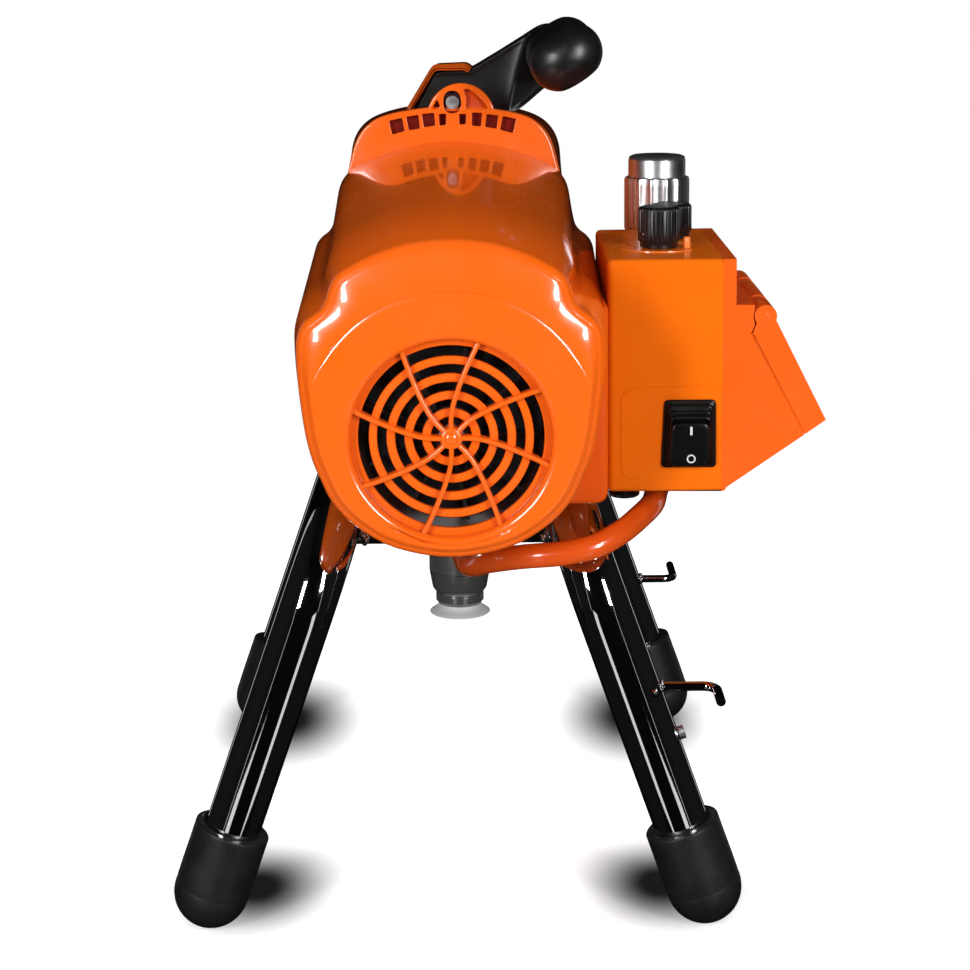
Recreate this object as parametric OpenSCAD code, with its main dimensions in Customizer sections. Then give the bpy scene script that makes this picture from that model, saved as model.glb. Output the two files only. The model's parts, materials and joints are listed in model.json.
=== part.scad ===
// Stand-mounted electric airless paint sprayer, in millimetres, +Z up.
// The origin is on the floor, under the middle of the whole machine.
// Modules are written about the motor: X = 0 on the motor axis, Y = 0 at the rear legs, Z = 0 on the floor.

/* [Stand] */
// Outer diameter of the stand tube
tube_d = 28; // [22:0.5:32]
// Wall of the stand tube
tube_wall = 2; // [1.5:0.1:3]
// Outward lean of the legs, degrees from vertical
leg_lean = 19.2; // [14:0.2:22]
// Distance of each top rail from the motor axis
rail_x = 60; // [58:1:72]
// Height of the top rails' centre line
rail_z = 203; // [180:1:240]
// Distance from rear legs to front legs
stand_len = 301; // [280:1:360]
// Centre line radius of the tube bends
bend_r = 45; // [36:1:50]
// Outer diameter of a rubber boot
boot_d = 38; // [34:0.5:44]
// Length of a boot above its dome
boot_grip = 35; // [25:1:45]
// Diameter of the hook rod
hook_d = 4.8; // [4:0.2:6]

/* [Motor and shroud] */
// Motor axis above the top rails
motor_rise = 58; // [58:1:70]
// Length of the motor shroud
shroud_len = 200; // [170:1:220]
// Rise of the shroud's top from its rear face to the drive end
shroud_rise = 26; // [0:1:30]
// Wall of the plastic covers
cover_wall = 2.5; // [2:0.1:3.5]
// Radius of the round air grille
grille_r = 49.3; // [44:0.1:50]
// Outer radius of the motor can
can_r = 50; // [45:0.5:51]
// Radius of the motor shaft
shaft_r = 6; // [5:0.5:7]

/* [Drive] */
// Gear module, pitch diameter per tooth
gear_m = 1.5; // [1.25:0.05:1.6]
// Teeth on the motor pinion
pinion_teeth = 12; // [10:1:14]
// Teeth on the crank gear
gear_teeth = 60; // [50:1:60]
// Face width of the crank gear
gear_face = 12; // [10:0.5:16]
// Crank throw, half the pump stroke
crank_throw = 8; // [6:0.5:9]
// Radius of the crank pin's roller
roller_r = 9; // [8:0.5:10]

/* [Pump] */
// Distance from the rear legs to the pump axis
pump_y = 240; // [236:1:244]
// Outer radius of the pump cylinder
pump_r = 18.2; // [17:0.2:20]
// Bore radius of the pump cylinder
pump_bore_r = 12; // [10:0.5:13]
// Radius of the piston rod
rod_r = 9; // [7:0.5:9.5]
// Outer diameter of the high pressure hose
hose_d = 12; // [10:0.5:13]

/* [Control box] */
// Depth of the control box along the motor
box_depth = 120; // [110:1:125]
// Height of the control box
box_h = 116; // [112:1:124]
// Width of the control box up to the side cover
box_w = 56.3; // [54:0.1:60]
// Wall of the control box
box_wall = 2.5; // [2:0.1:3.5]
// Radius of the pressure knob
knob_r = 10.6; // [9:0.1:12]
// Height of the pressure knob
knob_h = 21; // [18:0.5:26]
// Radius of the filter bowl
bowl_r = 18.3; // [17:0.1:19]

/* [Handle] */
// Wide diameter of the grip
grip_w = 42; // [36:1:46]
// Narrow diameter of the grip
grip_h = 34; // [30:1:38]
// Length of the grip
grip_len = 120; // [100:1:125]

/* [Hidden] */
$fn = 64;
gap = 0.3;               // clearance between pieces that move or that are only near
run = 0.05;              // radial clearance of a running fit
mate = 0.03;             // clearance of two round faces that seat on each other

tube_r = tube_d / 2;
boot_r = boot_d / 2;
patch_cut = 0.8;                                   // depth of the flat worn on a boot's dome
leg_drop = (rail_z - boot_r + patch_cut) / cos(leg_lean);
tube_end = 4;                                      // tube end above the boot's dome centre
axis_z = rail_z + motor_rise;                      // height of the motor axis
shroud_y = -50;                                    // rear face of the shroud
drive_y = shroud_y + shroud_len;                   // where shroud and drive meet

gear_r = gear_m * gear_teeth / 2;
pinion_r = gear_m * pinion_teeth / 2;
crank_z = axis_z + gear_r + pinion_r;              // height of the crank axis
gear_y = drive_y + 20;                             // rear face of the crank gear

case_w = 2 * (gear_r + 8);                                       // width of the gear case
case_top = crank_z + gear_r + 8;
case_y = drive_y + 3;
case_len = 47;                                     // gear case along the motor axis
yoke_case_y = case_y + case_len;
yoke_case_end = pump_y + 22;

box_x = 76.2;                                      // inner side of the control box
box_y = 10;
box_z = rail_z + 17;                               // underside of the control box
box_top = box_z + box_h;
seam_x = box_x + box_w;
box_end = box_y + box_depth;

knob_x = 104.5;
knob_y = 55;
knob2_x = 114;
knob2_y = 93.5;
knob2_h = 18;
peg_x = 120.5;
peg_y = 53;

bowl_x = 113;
bowl_y = box_end + 25;
block_half = 18.3;
block_z = rail_z - 3;
block_top = box_top - 4;
element_z = block_z + 60;                          // foot of the filter element
bowl_top = box_top + 39;

hinge_x = seam_x + 21;
hinge_z = box_top - 28.4;
barrel_r = 5.5;
pin_r = 1.5;
slope_a = 62.2;                                    // tilt of the display face

switch_x = 117.2;
switch_z = box_z + 27.8;
switch_w = 28.3;
switch_h = 35.5;

grip_x = 60;
grip_z = axis_z + 172.6;
grip_y = 85;
grip_tilt = 33;

upper_top = axis_z + 138.5;                        // top of the upper housing
ear_x = 4.7;
ear_z = axis_z + 133;
ear_r = 19.6;

cyl_bottom = rail_z - 86;                          // underside of the pump cylinder
cyl_top = rail_z + 29;
hose_z = rail_z - 29;                              // outlet port of the pump
inlet_z = rail_z - 109;                            // lower end of the inlet valve
front_hook_reach = 30;
flap_reach = 30.2;                                 // lower corner of the flap beyond its hinge

// Whole machine's outer box, which sets the origin
x_low = -(rail_x + leg_drop * sin(leg_lean) + boot_r);
x_high = hinge_x + flap_reach;
y_low = shroud_y - 2;
y_high = stand_len + front_hook_reach + hook_d / 2;
mid = [(x_low + x_high) / 2, (y_low + y_high) / 2, 0];

// Hose route from the pump outlet, under the motor, round the right rear leg, to the filter block,
// with heights from the rails' centre line
hose_from_rails = [
    [0, 203, -29], [0, 185, -30], [1, 150, -32], [2, 110, -32], [4, 70, -31], [8, 34, -26],
    [18, 5, -16], [34, -13, -9], [52, -19, -6], [68, -18, -3], [82, -9, 2], [93, 8, 6],
    [100, 28, 7], [104, 55, 7], [109, 82, 7], [112, 104, 8], [113, 124, 9]
];
hose_route = [for (p = hose_from_rails) p + [0, 0, rail_z]];
hose_start = hose_route[0];
end_at = hose_route[len(hose_route) - 1];
hose_steps = 4;                                    // rings between two route points
hose_sides = 12;

// A smooth curve through the route: Catmull-Rom
function route_point(r, i, t) =
    let (a = r[max(i - 1, 0)], b = r[i], c = r[i + 1], d = r[min(i + 2, len(r) - 1)])
    0.5 * (2 * b + (c - a) * t + (2 * a - 5 * b + 4 * c - d) * t * t + (3 * b - a - 3 * c + d) * t * t * t);
function route_points(r, n) = concat(
    [for (i = [0 : len(r) - 2], k = [0 : n - 1]) route_point(r, i, k / n)], [r[len(r) - 1]]);
function unit(v) = v / norm(v);
function ring_at(p, dir, r, n) =
    let (side = unit(cross(dir, [0, 0, 1])), up = cross(side, dir))
    [for (k = [0 : n - 1]) p + r * (cos(360 * k / n) * side + sin(360 * k / n) * up)];

// A closed solid through rings of equal length
module skin(rings) {
    n = len(rings[0]);
    m = len(rings);
    points = [for (ring = rings, p = ring) p];
    sides = [for (j = [0 : m - 2], k = [0 : n - 1])
        [j * n + k, (j + 1) * n + k, (j + 1) * n + (k + 1) % n, j * n + (k + 1) % n]];
    first = [[for (k = [0 : n - 1]) k]];
    last = [[for (k = [n - 1 : -1 : 0]) (m - 1) * n + k]];
    polyhedron(points, concat(first, sides, last));
}

// Rounds each corner of a convex outline by arcs of radius r
function corner_arc(a, b, c, r, n) =
    let (u = unit(a - b), v = unit(c - b), half = acos(u * v) / 2, reach = r / tan(half),
         centre = b + unit(u + v) * (r / sin(half)), from = b + u * reach - centre, to = b + v * reach - centre,
         turn = 180 - 2 * half, way = sign(cross([from.x, from.y, 0], [to.x, to.y, 0]).z))
    [for (k = [0 : n]) let (t = way * turn * k / n)
        centre + [from.x * cos(t) - from.y * sin(t), from.x * sin(t) + from.y * cos(t)]];
function rounded(pts, r, n = 4) = [for (i = [0 : len(pts) - 1])
    each corner_arc(pts[(i + len(pts) - 1) % len(pts)], pts[i], pts[(i + 1) % len(pts)], r, n)];

// Cylinder along +Y from y0 to y1
module y_rod(r, y0, y1, x = 0, z = 0) {
    translate([x, y0, z]) rotate([-90, 0, 0]) cylinder(r = r, h = y1 - y0);
}
module x_rod(r, x0, x1, y = 0, z = 0) {
    translate([x0, y, z]) rotate([0, 90, 0]) cylinder(r = r, h = x1 - x0);
}
// Outline in X and Z, extruded along +Y from y0 to y1
module y_plate(pts, y0, y1) {
    translate([0, y1, 0]) rotate([90, 0, 0]) linear_extrude(y1 - y0) polygon(pts);
}
module box_between(a, b) {
    translate(a) cube(b - a);
}
module y_tube(r, bore, y0, y1, x = 0, z = 0) {
    difference() {
        y_rod(r, y0, y1, x, z);
        y_rod(bore, y0 - 1, y1 + 1, x, z);
    }
}

/* ---- stand ---- */
module side_plane(side) {
    translate([side * rail_x, 0, rail_z]) rotate([0, -side * leg_lean, 0]) children();
}
module arch(r) {
    leg_len = leg_drop - tube_end - bend_r;
    for (y = [0, stand_len]) translate([0, y, -bend_r - leg_len]) cylinder(r = r, h = leg_len);
    y_rod(r, bend_r, stand_len - bend_r);
    for (end = [[bend_r, 90], [stand_len - bend_r, 0]])
        translate([0, end[0], -bend_r]) rotate([90, 0, 90]) rotate([0, 0, end[1]])
            rotate_extrude(angle = 90) translate([bend_r, 0]) circle(r = r);
}
ground_z = 94;
module at_ground_screw() {
    side_plane(1) translate([tube_r, 0, (ground_z - rail_z) / cos(leg_lean)]) rotate([0, 90, 0]) children();
}
screw_r = 1.9;
module side_stand(side) {
    color("gainsboro") difference() {
        side_plane(side) difference() {
            arch(tube_r);
            arch(tube_r - tube_wall);
            for (y = [0, stand_len]) translate([0, y, -leg_drop]) cylinder(r = tube_r - tube_wall, h = 20);
        }
        at_ground_screw() translate([0, 0, -6]) cylinder(r = screw_r + mate, h = 8);
    }
}
module stand_left() side_stand(-1);
module stand_right() side_stand(1);

module cross_member(y) {
    reach = rail_x - 4;
    difference() {
        union() {
            box_between([-reach, y, rail_z - 19], [reach, y + 4, rail_z - 5]);
            box_between([-reach, y + 4, rail_z - 9], [reach, y + 36, rail_z - 5]);
        }
        for (side = [-1, 1]) y_rod(tube_r + mate, y - 1, y + 40, side * rail_x, rail_z);
        for (x = [-22, 22]) translate([x, y + 14, rail_z - 12]) cylinder(r = 2.6, h = 10);
    }
}
rear_member_y = 50;
front_member_y = pump_y - pump_r - 46.8;
module cross_members() {
    color("gainsboro") {
        cross_member(rear_member_y);
        cross_member(front_member_y);
    }
}

module boot(side, y) {
    side_plane(side) translate([0, y, -leg_drop]) difference() {
        union() {
            sphere(r = boot_r);
            cylinder(r = boot_r, h = boot_grip);
        }
        translate([0, 0, tube_end]) cylinder(r = tube_r + mate, h = boot_grip);
    }
}
module rubber_boots() {
    color("black") difference() {
        for (side = [-1, 1], y = [0, stand_len]) boot(side, y);
        translate([-400, -200, -50]) cube([800, 800, 50]);
    }
}

// A rod hook welded to the outside of a right-hand leg: out, then along Y
module leg_hook(y, drop, out, tip, dir) {
    x0 = rail_x + drop * tan(leg_lean) + (tube_r - 1) / cos(leg_lean);
    x1 = x0 + out;
    r = hook_d / 2;
    turn = 6;
    lap = 0.3;
    bend_y = y + dir * (turn - lap);
    tip_y = y + dir * tip;
    difference() {
        union() {
            x_rod(r, x0 - 2, x1 - turn + lap, y, rail_z - drop);
            translate([x1 - turn, y + dir * turn, rail_z - drop]) rotate([0, 0, dir > 0 ? -90 : 0])
                rotate_extrude(angle = 90) translate([turn, 0]) circle(r = r + mate);
            y_rod(r, min(bend_y, tip_y), max(bend_y, tip_y), x1, rail_z - drop);
            translate([x1, y + dir * tip, rail_z - drop]) sphere(r = r);
        }
        side_plane(1) translate([0, y, -leg_drop]) cylinder(r = tube_r + mate, h = leg_drop);
    }
}
rear_hook_z = 123;
front_hook_z = 92;
module rod_hooks() {
    color("silver") {
        leg_hook(0, rail_z - rear_hook_z, 28, 22, -1);
        leg_hook(stand_len, rail_z - front_hook_z, 22, front_hook_reach, 1);
    }
}
module ground_screw() {
    at_ground_screw() {
        cylinder(r = 3.4, h = 3);
        translate([0, 0, -tube_wall - 3]) cylinder(r = screw_r, h = 3 + tube_wall);
    }
}

/* ---- shroud and motor ---- */
// Half outline of the shroud's section, from the crown round to the keel, about the motor axis
shroud_half = [[0, 93], [57, 76], [73, 54], [74, 48], [73, 31], [69, 0], [57, -31], [47, -41], [32, -51.4], [0, -58]];
function mirrored(half) = concat(half, [for (i = [len(half) - 2 : -1 : 1]) [-half[i].x, half[i].y]]);
// Insets the outline by d towards the axis and lifts what lies above the axis
function section(d, lift, y) = [for (p = rounded(mirrored(shroud_half), 5, 3))
    let (k = 1 - d / norm(p)) [p.x * k, y, axis_z + p.y * k + lift * max(0, min(1, p.y / 48))]];

module shroud_body(d, y0, y1) {
    skin([for (y = [y0, y1]) section(d, shroud_rise * (y - shroud_y) / shroud_len, y)]);
}
module motor_shroud() {
    color("darkorange") difference() {
        shroud_body(0, shroud_y, drive_y - gap);
        shroud_body(cover_wall, shroud_y + cover_wall, drive_y + 1);
        y_rod(grille_r, shroud_y - 1, shroud_y + 5, 0, axis_z);
    }
}

grille_bars = 8;
module fan_grille() {
    slot_out = [43.7, 34.8, 26.3, 18, 9.7];
    slot_in = [38.6, 30.3, 21.9, 13.7, 5.2];
    y0 = shroud_y;
    color("darkorange") {
        difference() {
            y_rod(grille_r - mate, y0, y0 + cover_wall, 0, axis_z);
            for (i = [0 : len(slot_out) - 1]) y_tube(slot_out[i], slot_in[i], y0 - 1, y0 + 4, 0, axis_z);
        }
        for (k = [0 : grille_bars - 1]) translate([0, y0, axis_z]) rotate([0, 45 * k, 0])
            translate([4, -1.2, -1.2]) cube([grille_r - 5.5, cover_wall + 0.7, 2.4]);
        y_rod(6.4, y0 - 2, y0 + cover_wall + 0.5, 0, axis_z);
    }
}

fan_y = shroud_y + 8;
module cooling_fan() {
    color("dimgray") difference() {
        union() {
            y_rod(14, fan_y, fan_y + 16, 0, axis_z);
            y_rod(43, fan_y + 13, fan_y + 15, 0, axis_z);
            for (k = [0 : 8]) translate([0, fan_y + 2, axis_z]) rotate([0, 40 * k, 0])
                translate([12, 0, -0.8]) cube([30, 12, 1.6]);
        }
        y_rod(shaft_r + mate, fan_y - 1, fan_y + 17, 0, axis_z);
    }
}

bell_y = fan_y + 20;
can_end = drive_y - 12;
bearing_r = 13;
bearing_w = 8;
module rear_end_bell() {
    difference() {
        y_rod(can_r, bell_y, bell_y + 12, 0, axis_z);
        y_rod(can_r - 8, bell_y + 9, bell_y + 13, 0, axis_z);
        y_rod(shaft_r + 1, bell_y - 1, bell_y + 13, 0, axis_z);
        y_rod(bearing_r + mate, bell_y + 2, bell_y + 13, 0, axis_z);
        for (k = [0 : 5]) rotate_about_motor(60 * k) y_rod(5, bell_y - 1, bell_y + 13, 30, 0);
    }
}
module rotate_about_motor(a) {
    translate([0, 0, axis_z]) rotate([0, a, 0]) children();
}
module motor_can() {
    color("dimgray") y_tube(can_r, can_r - 3, bell_y + 12, can_end, 0, axis_z);
}
module front_end_bell() {
    difference() {
        y_rod(can_r, can_end, case_y, 0, axis_z);
        y_rod(can_r - 8, can_end - 1, can_end + 3, 0, axis_z);
        y_rod(shaft_r + 1, can_end - 1, case_y + 1, 0, axis_z);
        y_rod(bearing_r + mate, can_end - 1, can_end + 10, 0, axis_z);
    }
}
module motor_end_bells() {
    color("silver") {
        rear_end_bell();
        front_end_bell();
    }
}
module bearing(y, bore) {
    y_tube(bearing_r, bore + run, y, y + bearing_w, 0, axis_z);
}
module motor_bearings() {
    color("silver") {
        bearing(bell_y + 2, shaft_r);
        bearing(can_end + 2, shaft_r);
    }
}
stack_y = bell_y + 32;
stack_len = can_end - stack_y - 22;
stack_r = can_r - 3 - mate;
stator_bore = 30;
module stator_core() {
    color("slategray") difference() {
        y_rod(stack_r, stack_y, stack_y + stack_len, 0, axis_z);
        y_rod(stator_bore, stack_y - 1, stack_y + stack_len + 1, 0, axis_z);
        for (k = [0 : 11]) rotate_about_motor(30 * k)
            translate([stator_bore - 2, stack_y - 1, -2.5]) cube([12, stack_len + 2, 5]);
    }
}
module stator_windings() {
    color("peru") {
        for (k = [0 : 11]) rotate_about_motor(30 * k)
            translate([stator_bore + 1.5, stack_y - 6, -2]) cube([8, stack_len + 12, 4]);
        for (y = [stack_y - 10, stack_y + stack_len + 4]) y_tube(stator_bore + 10, stator_bore + 1, y, y + 6, 0, axis_z);
    }
}
rotor_r = stator_bore - 0.5;
module rotor_core() {
    color("gray") y_tube(rotor_r, shaft_r + 1 + mate, stack_y, stack_y + stack_len, 0, axis_z);
}
pinion_y = gear_y - 1;
module gear_teeth_outline(teeth, r) {
    tip = r + gear_m * 0.85;
    root = r - gear_m * 1.15;
    step = 360 / teeth;
    polygon([for (k = [0 : teeth - 1]) each [
        for (q = [[-0.31, root], [-0.235, r], [-0.13, tip], [0.13, tip], [0.235, r], [0.31, root]])
            q[1] * [cos((k + q[0]) * step), sin((k + q[0]) * step)]]]);
}
module rotor_shaft() {
    color("silver") {
        y_rod(shaft_r, fan_y - 2, pinion_y, 0, axis_z);
        y_rod(shaft_r + 1, stack_y, stack_y + stack_len, 0, axis_z);
        translate([0, pinion_y, axis_z]) rotate([-90, 0, 0]) rotate([0, 0, 90 + 180 / pinion_teeth])
            linear_extrude(gear_face + 2) gear_teeth_outline(pinion_teeth, pinion_r);
        y_rod(shaft_r - 1, pinion_y + gear_face + 2, pinion_y + gear_face + 5, 0, axis_z);
    }
}

/* ---- drive ---- */
crank_r = 8;
crank_bearing_r = 15;
module case_block(y0, y1, w, z0, z1) {
    y_plate(rounded([[-w / 2, z0], [w / 2, z0], [w / 2, z1], [-w / 2, z1]], 8), y0, y1);
}
foot_z = rail_z - 5;
module gear_case() {
    back = case_y + 10;
    color("silver") difference() {
        union() {
            case_block(case_y, yoke_case_y, case_w, rail_z + 14, case_top);
            box_between([-32, front_member_y + 4, foot_z], [32, yoke_case_y, rail_z + 16]);
        }
        y_rod(gear_r + 4, back, yoke_case_y + 1, 0, crank_z);
        y_rod(pinion_r + 4, back, yoke_case_y + 1, 0, axis_z);
        y_rod(pinion_r + 3, case_y - 1, back + 1, 0, axis_z);
        y_rod(crank_bearing_r + mate, back - 7, back + 1, 0, crank_z);
        box_between([-20, back, axis_z], [20, yoke_case_y + 1, crank_z]);
        for (x = [-22, 22]) translate([x, front_member_y + 14, foot_z - 1]) cylinder(r = 2.6, h = 14);
    }
}
yoke_w = 2 * (crank_throw + roller_r + 0.6);       // yoke window
yoke_win_h = 2 * (2 * crank_throw + roller_r + 0.6);
yoke_out = yoke_w + 13;
yoke_out_h = yoke_win_h + 13;
yoke_room_w = yoke_out + 3;
yoke_room_h = yoke_out_h + 2 * crank_throw + 4;
boss_r = pump_r + 8;
module yoke_case() {
    wall_end = yoke_case_y + 12;
    color("silver") difference() {
        union() {
            case_block(yoke_case_y, yoke_case_end, yoke_room_w + 12, crank_z - yoke_room_h / 2 - 8,
                crank_z + yoke_room_h / 2 + 6);
            case_block(yoke_case_y, wall_end, case_w, rail_z + 14, case_top);
            translate([0, pump_y, rail_z - 3]) cylinder(r = boss_r, h = crank_z - yoke_room_h / 2 - rail_z + 2);
        }
        box_between([-yoke_room_w / 2, wall_end, crank_z - yoke_room_h / 2],
            [yoke_room_w / 2, yoke_case_end + 1, crank_z + yoke_room_h / 2]);
        y_rod(crank_bearing_r + mate, yoke_case_y + 2, wall_end + 1, 0, crank_z);
        y_rod(crank_r + 1, yoke_case_y - 1, wall_end + 1, 0, crank_z);
        y_rod(pinion_r, yoke_case_y - 1, yoke_case_y + 4, 0, axis_z);
        translate([0, pump_y, rail_z - 4]) cylinder(r = pump_r + mate, h = cyl_top - rail_z + 4 + mate);
        translate([0, pump_y, rail_z]) cylinder(r = rod_r + 3, h = crank_z - rail_z);
    }
}
module crank_bearings() {
    color("lightgray") {
        y_tube(crank_bearing_r, crank_r + run, case_y + 3.3, case_y + 10, 0, crank_z);
        y_tube(crank_bearing_r, crank_r + run, yoke_case_y + 2, yoke_case_y + 9, 0, crank_z);
    }
}
disc_y = yoke_case_y + 12 + gap;
module crank_shaft() {
    color("darkgray") {
        y_rod(crank_r, case_y + 3.6, disc_y, 0, crank_z);
        y_rod(crank_throw + 10, disc_y, disc_y + 5, 0, crank_z);
        y_rod(5, disc_y + 5, pump_y + 12, crank_throw, crank_z);
    }
}
module crank_gear() {
    color("dimgray") translate([0, gear_y, crank_z]) rotate([-90, 0, 0]) difference() {
        rotate([0, 0, 90]) linear_extrude(gear_face) gear_teeth_outline(gear_teeth, gear_r);
        translate([0, 0, -1]) cylinder(r = crank_r + mate, h = gear_face + 2);
        for (k = [0 : 4]) rotate([0, 0, 72 * k + 36]) translate([gear_r * 0.6, 0, -1])
            cylinder(r = 8, h = gear_face + 2);
    }
}
module crank_roller() {
    color("silver") y_tube(roller_r, 5 + mate, pump_y - 11, pump_y + 11, crank_throw, crank_z);
}
yoke_t = 20;
module scotch_yoke() {
    y0 = pump_y - yoke_t / 2;
    color("gray") difference() {
        union() {
            case_block(y0, y0 + yoke_t, yoke_out, crank_z - yoke_out_h / 2, crank_z + yoke_out_h / 2);
            translate([0, pump_y, crank_z - yoke_out_h / 2 - 3]) cylinder(r = 9.5, h = 5);
        }
        case_block(y0 - 1, y0 + yoke_t + 1, yoke_w, crank_z - yoke_win_h / 2, crank_z + yoke_win_h / 2);
    }
}
rod_top = crank_z - yoke_out_h / 2 - 3;
piston_z = cyl_bottom + 27;
module piston_rod() {
    color("gainsboro") translate([0, pump_y, piston_z + 8]) cylinder(r = rod_r, h = rod_top - piston_z - 8);
}
seal_h = [2, 5.2];
seal_w = 1.4;
seal_in = pump_bore_r - 1.2;
module seal_ring(h, r) {
    translate([0, 0, h]) difference() {
        cylinder(r = r, h = seal_w);
        translate([0, 0, -1]) cylinder(r = seal_in, h = seal_w + 2);
    }
}
// The piston and its two seals
module piston() {
    color("goldenrod") translate([0, pump_y, piston_z]) difference() {
        cylinder(r = pump_bore_r - run, h = 8);
        translate([0, 0, -1]) cylinder(r = 3.5, h = 5);
        for (h = seal_h) seal_ring(h, pump_bore_r + 1);
    }
    color("white") translate([0, pump_y, piston_z]) for (h = seal_h) seal_ring(h, pump_bore_r - run);
}

/* ---- pump ---- */
module pump_cylinder() {
    color("silver") difference() {
        translate([0, pump_y, cyl_bottom]) cylinder(r = pump_r, h = cyl_top - cyl_bottom);
        translate([0, pump_y, cyl_bottom - 1]) cylinder(r = pump_bore_r, h = cyl_top - cyl_bottom + 2);
        translate([0, pump_y, cyl_top - 12]) cylinder(r = pump_bore_r + 3, h = 13);
        y_rod(3.2, pump_y - pump_r - 2, pump_y, 0, hose_z);
    }
}
// The packing round the rod and the nut that presses it
module rod_packing() {
    for (part = [["ivory", 12], ["goldenrod", 6]]) color(part[0])
        translate([0, pump_y, cyl_top - part[1]]) difference() {
            cylinder(r = pump_bore_r + 3 - mate, h = 6);
            translate([0, 0, -1]) cylinder(r = rod_r + run, h = 8);
        }
}
module jam_nut() {
    color("darkgray") translate([0, pump_y, rail_z - 13]) difference() {
        cylinder(r = boss_r, h = 9.7);
        translate([0, 0, -1]) cylinder(r = pump_r + mate, h = 12);
        for (k = [0 : 7]) rotate([0, 0, 45 * k + 22.5]) translate([boss_r, 0, -1]) cylinder(r = 3.5, h = 12);
    }
}
module inlet_valve() {
    ball_room = 8;
    color("silver") translate([0, pump_y, 0]) difference() {
        union() {
            translate([0, 0, inlet_z]) cylinder(r = 14.3, h = 6);
            translate([0, 0, inlet_z + 6]) cylinder(r = 16.2, h = 4);
            translate([0, 0, inlet_z + 10]) cylinder(r1 = 16.2, r2 = pump_r, h = cyl_bottom - inlet_z - 10);
            translate([0, 0, cyl_bottom]) cylinder(r = pump_bore_r - mate, h = 5);
        }
        translate([0, 0, inlet_z - 1]) cylinder(r = 5, h = 40);
        translate([0, 0, inlet_z + 12]) cylinder(r = ball_room, h = 30);
    }
}
ball_r = 7;
module inlet_ball() {
    seat_h = inlet_z + 12 + sqrt(ball_r * ball_r - 25) + 0.1;
    color("silver") translate([0, pump_y, seat_h]) sphere(r = ball_r);
}
module inlet_cap() {
    color("whitesmoke") translate([0, pump_y, inlet_z - 11]) {
        cylinder(r = pump_r, h = 3);
        translate([0, 0, 3]) cylinder(r1 = pump_r, r2 = 12, h = 3);
        translate([0, 0, 6]) cylinder(r = 12, h = 5 - mate);
        translate([0, 0, 10]) cylinder(r = 4.9, h = 8);
    }
}
module outlet_fitting() {
    difference() {
        union() {
            translate([0, pump_y - pump_r - 7, hose_z]) rotate([-90, 0, 0]) cylinder(r = 10, h = 12, $fn = 6);
            y_rod(hose_d / 2 + 1.5, hose_start.y, pump_y - pump_r - 7, 0, hose_z);
        }
        translate([0, pump_y, hose_z - 20]) cylinder(r = pump_r + mate, h = 40);
        y_rod(3, hose_start.y - 1, pump_y, 0, hose_z);
    }
}

/* ---- hose and fluid ---- */
// Both ends of the hose are square to the motor axis, against their fittings
module fluid_hose() {
    pts = route_points(hose_route, hose_steps);
    last = len(pts) - 1;
    color("orangered") skin([for (i = [0 : last])
        let (dir = i == 0 ? [0, -1, 0] : i == last ? [0, 1, 0] : unit(pts[i + 1] - pts[i - 1]))
        ring_at(pts[i], dir, hose_d / 2, hose_sides)]);
}
module filter_block() {
    x0 = bowl_x - block_half;
    x1 = bowl_x + block_half;
    color("silver") difference() {
        y_side_block(x0, x1, bowl_y - block_half, bowl_y + block_half, block_z, block_top);
        translate([bowl_x, bowl_y, element_z]) cylinder(r = 11, h = block_top);
        y_rod(4, bowl_y - block_half - 1, bowl_y, bowl_x, end_at.z);
        x_rod(4, bowl_x, x1 + 1, bowl_y, block_z + 44);
        y_rod(5, bowl_y, bowl_y + block_half + 1, bowl_x, block_z + 76);
        y_rod(3, bowl_y, bowl_y + block_half + 1, bowl_x, block_z + 44);
    }
}
module y_side_block(x0, x1, y0, y1, z0, z1) {
    translate([0, 0, z0]) linear_extrude(z1 - z0) polygon(rounded([[x0, y0], [x1, y0], [x1, y1], [x0, y1]], 3));
}
module block_inlet() {
    difference() {
        union() {
            translate([bowl_x, bowl_y - block_half - 6, end_at.z]) rotate([-90, 0, 0]) cylinder(r = 9.5, h = 6, $fn = 6);
            y_rod(hose_d / 2 + 1.2, end_at.y, bowl_y - block_half - 6, bowl_x, end_at.z);
        }
        y_rod(3, end_at.y - 1, bowl_y, bowl_x, end_at.z);
    }
}
module hose_fittings() {
    color("silver") {
        outlet_fitting();
        block_inlet();
    }
}
module filter_bowl() {
    flutes = 14;
    z0 = block_top + gap;
    color("silver") difference() {
        union() {
            translate([bowl_x, bowl_y, z0]) cylinder(r = bowl_r, h = bowl_top - 14 - z0);
            translate([bowl_x, bowl_y, bowl_top - 14]) cylinder(r = bowl_r - 2.2, h = 14);
        }
        translate([bowl_x, bowl_y, z0 - 1]) cylinder(r = 11, h = bowl_top - z0 - 3);
        for (k = [0 : flutes - 1]) translate([bowl_x, bowl_y, z0 - 1]) rotate([0, 0, 360 * k / flutes])
            translate([bowl_r + 4.6, 0, 0]) cylinder(r = 6, h = bowl_top - 15 - z0);
    }
}
module filter_element() {
    color("lightgray") translate([bowl_x, bowl_y, element_z]) difference() {
        cylinder(r = 8, h = bowl_top - 5 - element_z);
        translate([0, 0, -1]) cylinder(r = 5, h = bowl_top);
    }
}
module block_bracket() {
    z0 = rail_z + 18;
    color("silver") difference() {
        box_between([case_w / 2, bowl_y - 2, z0], [bowl_x - block_half, bowl_y + 14, z0 + 16]);
        for (x = [60, 80]) translate([x, bowl_y + 6, z0 - 1]) cylinder(r = 2.7, h = 18);
    }
}
prime_y = bowl_y + block_half;
prime_z = block_z + 76;
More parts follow.
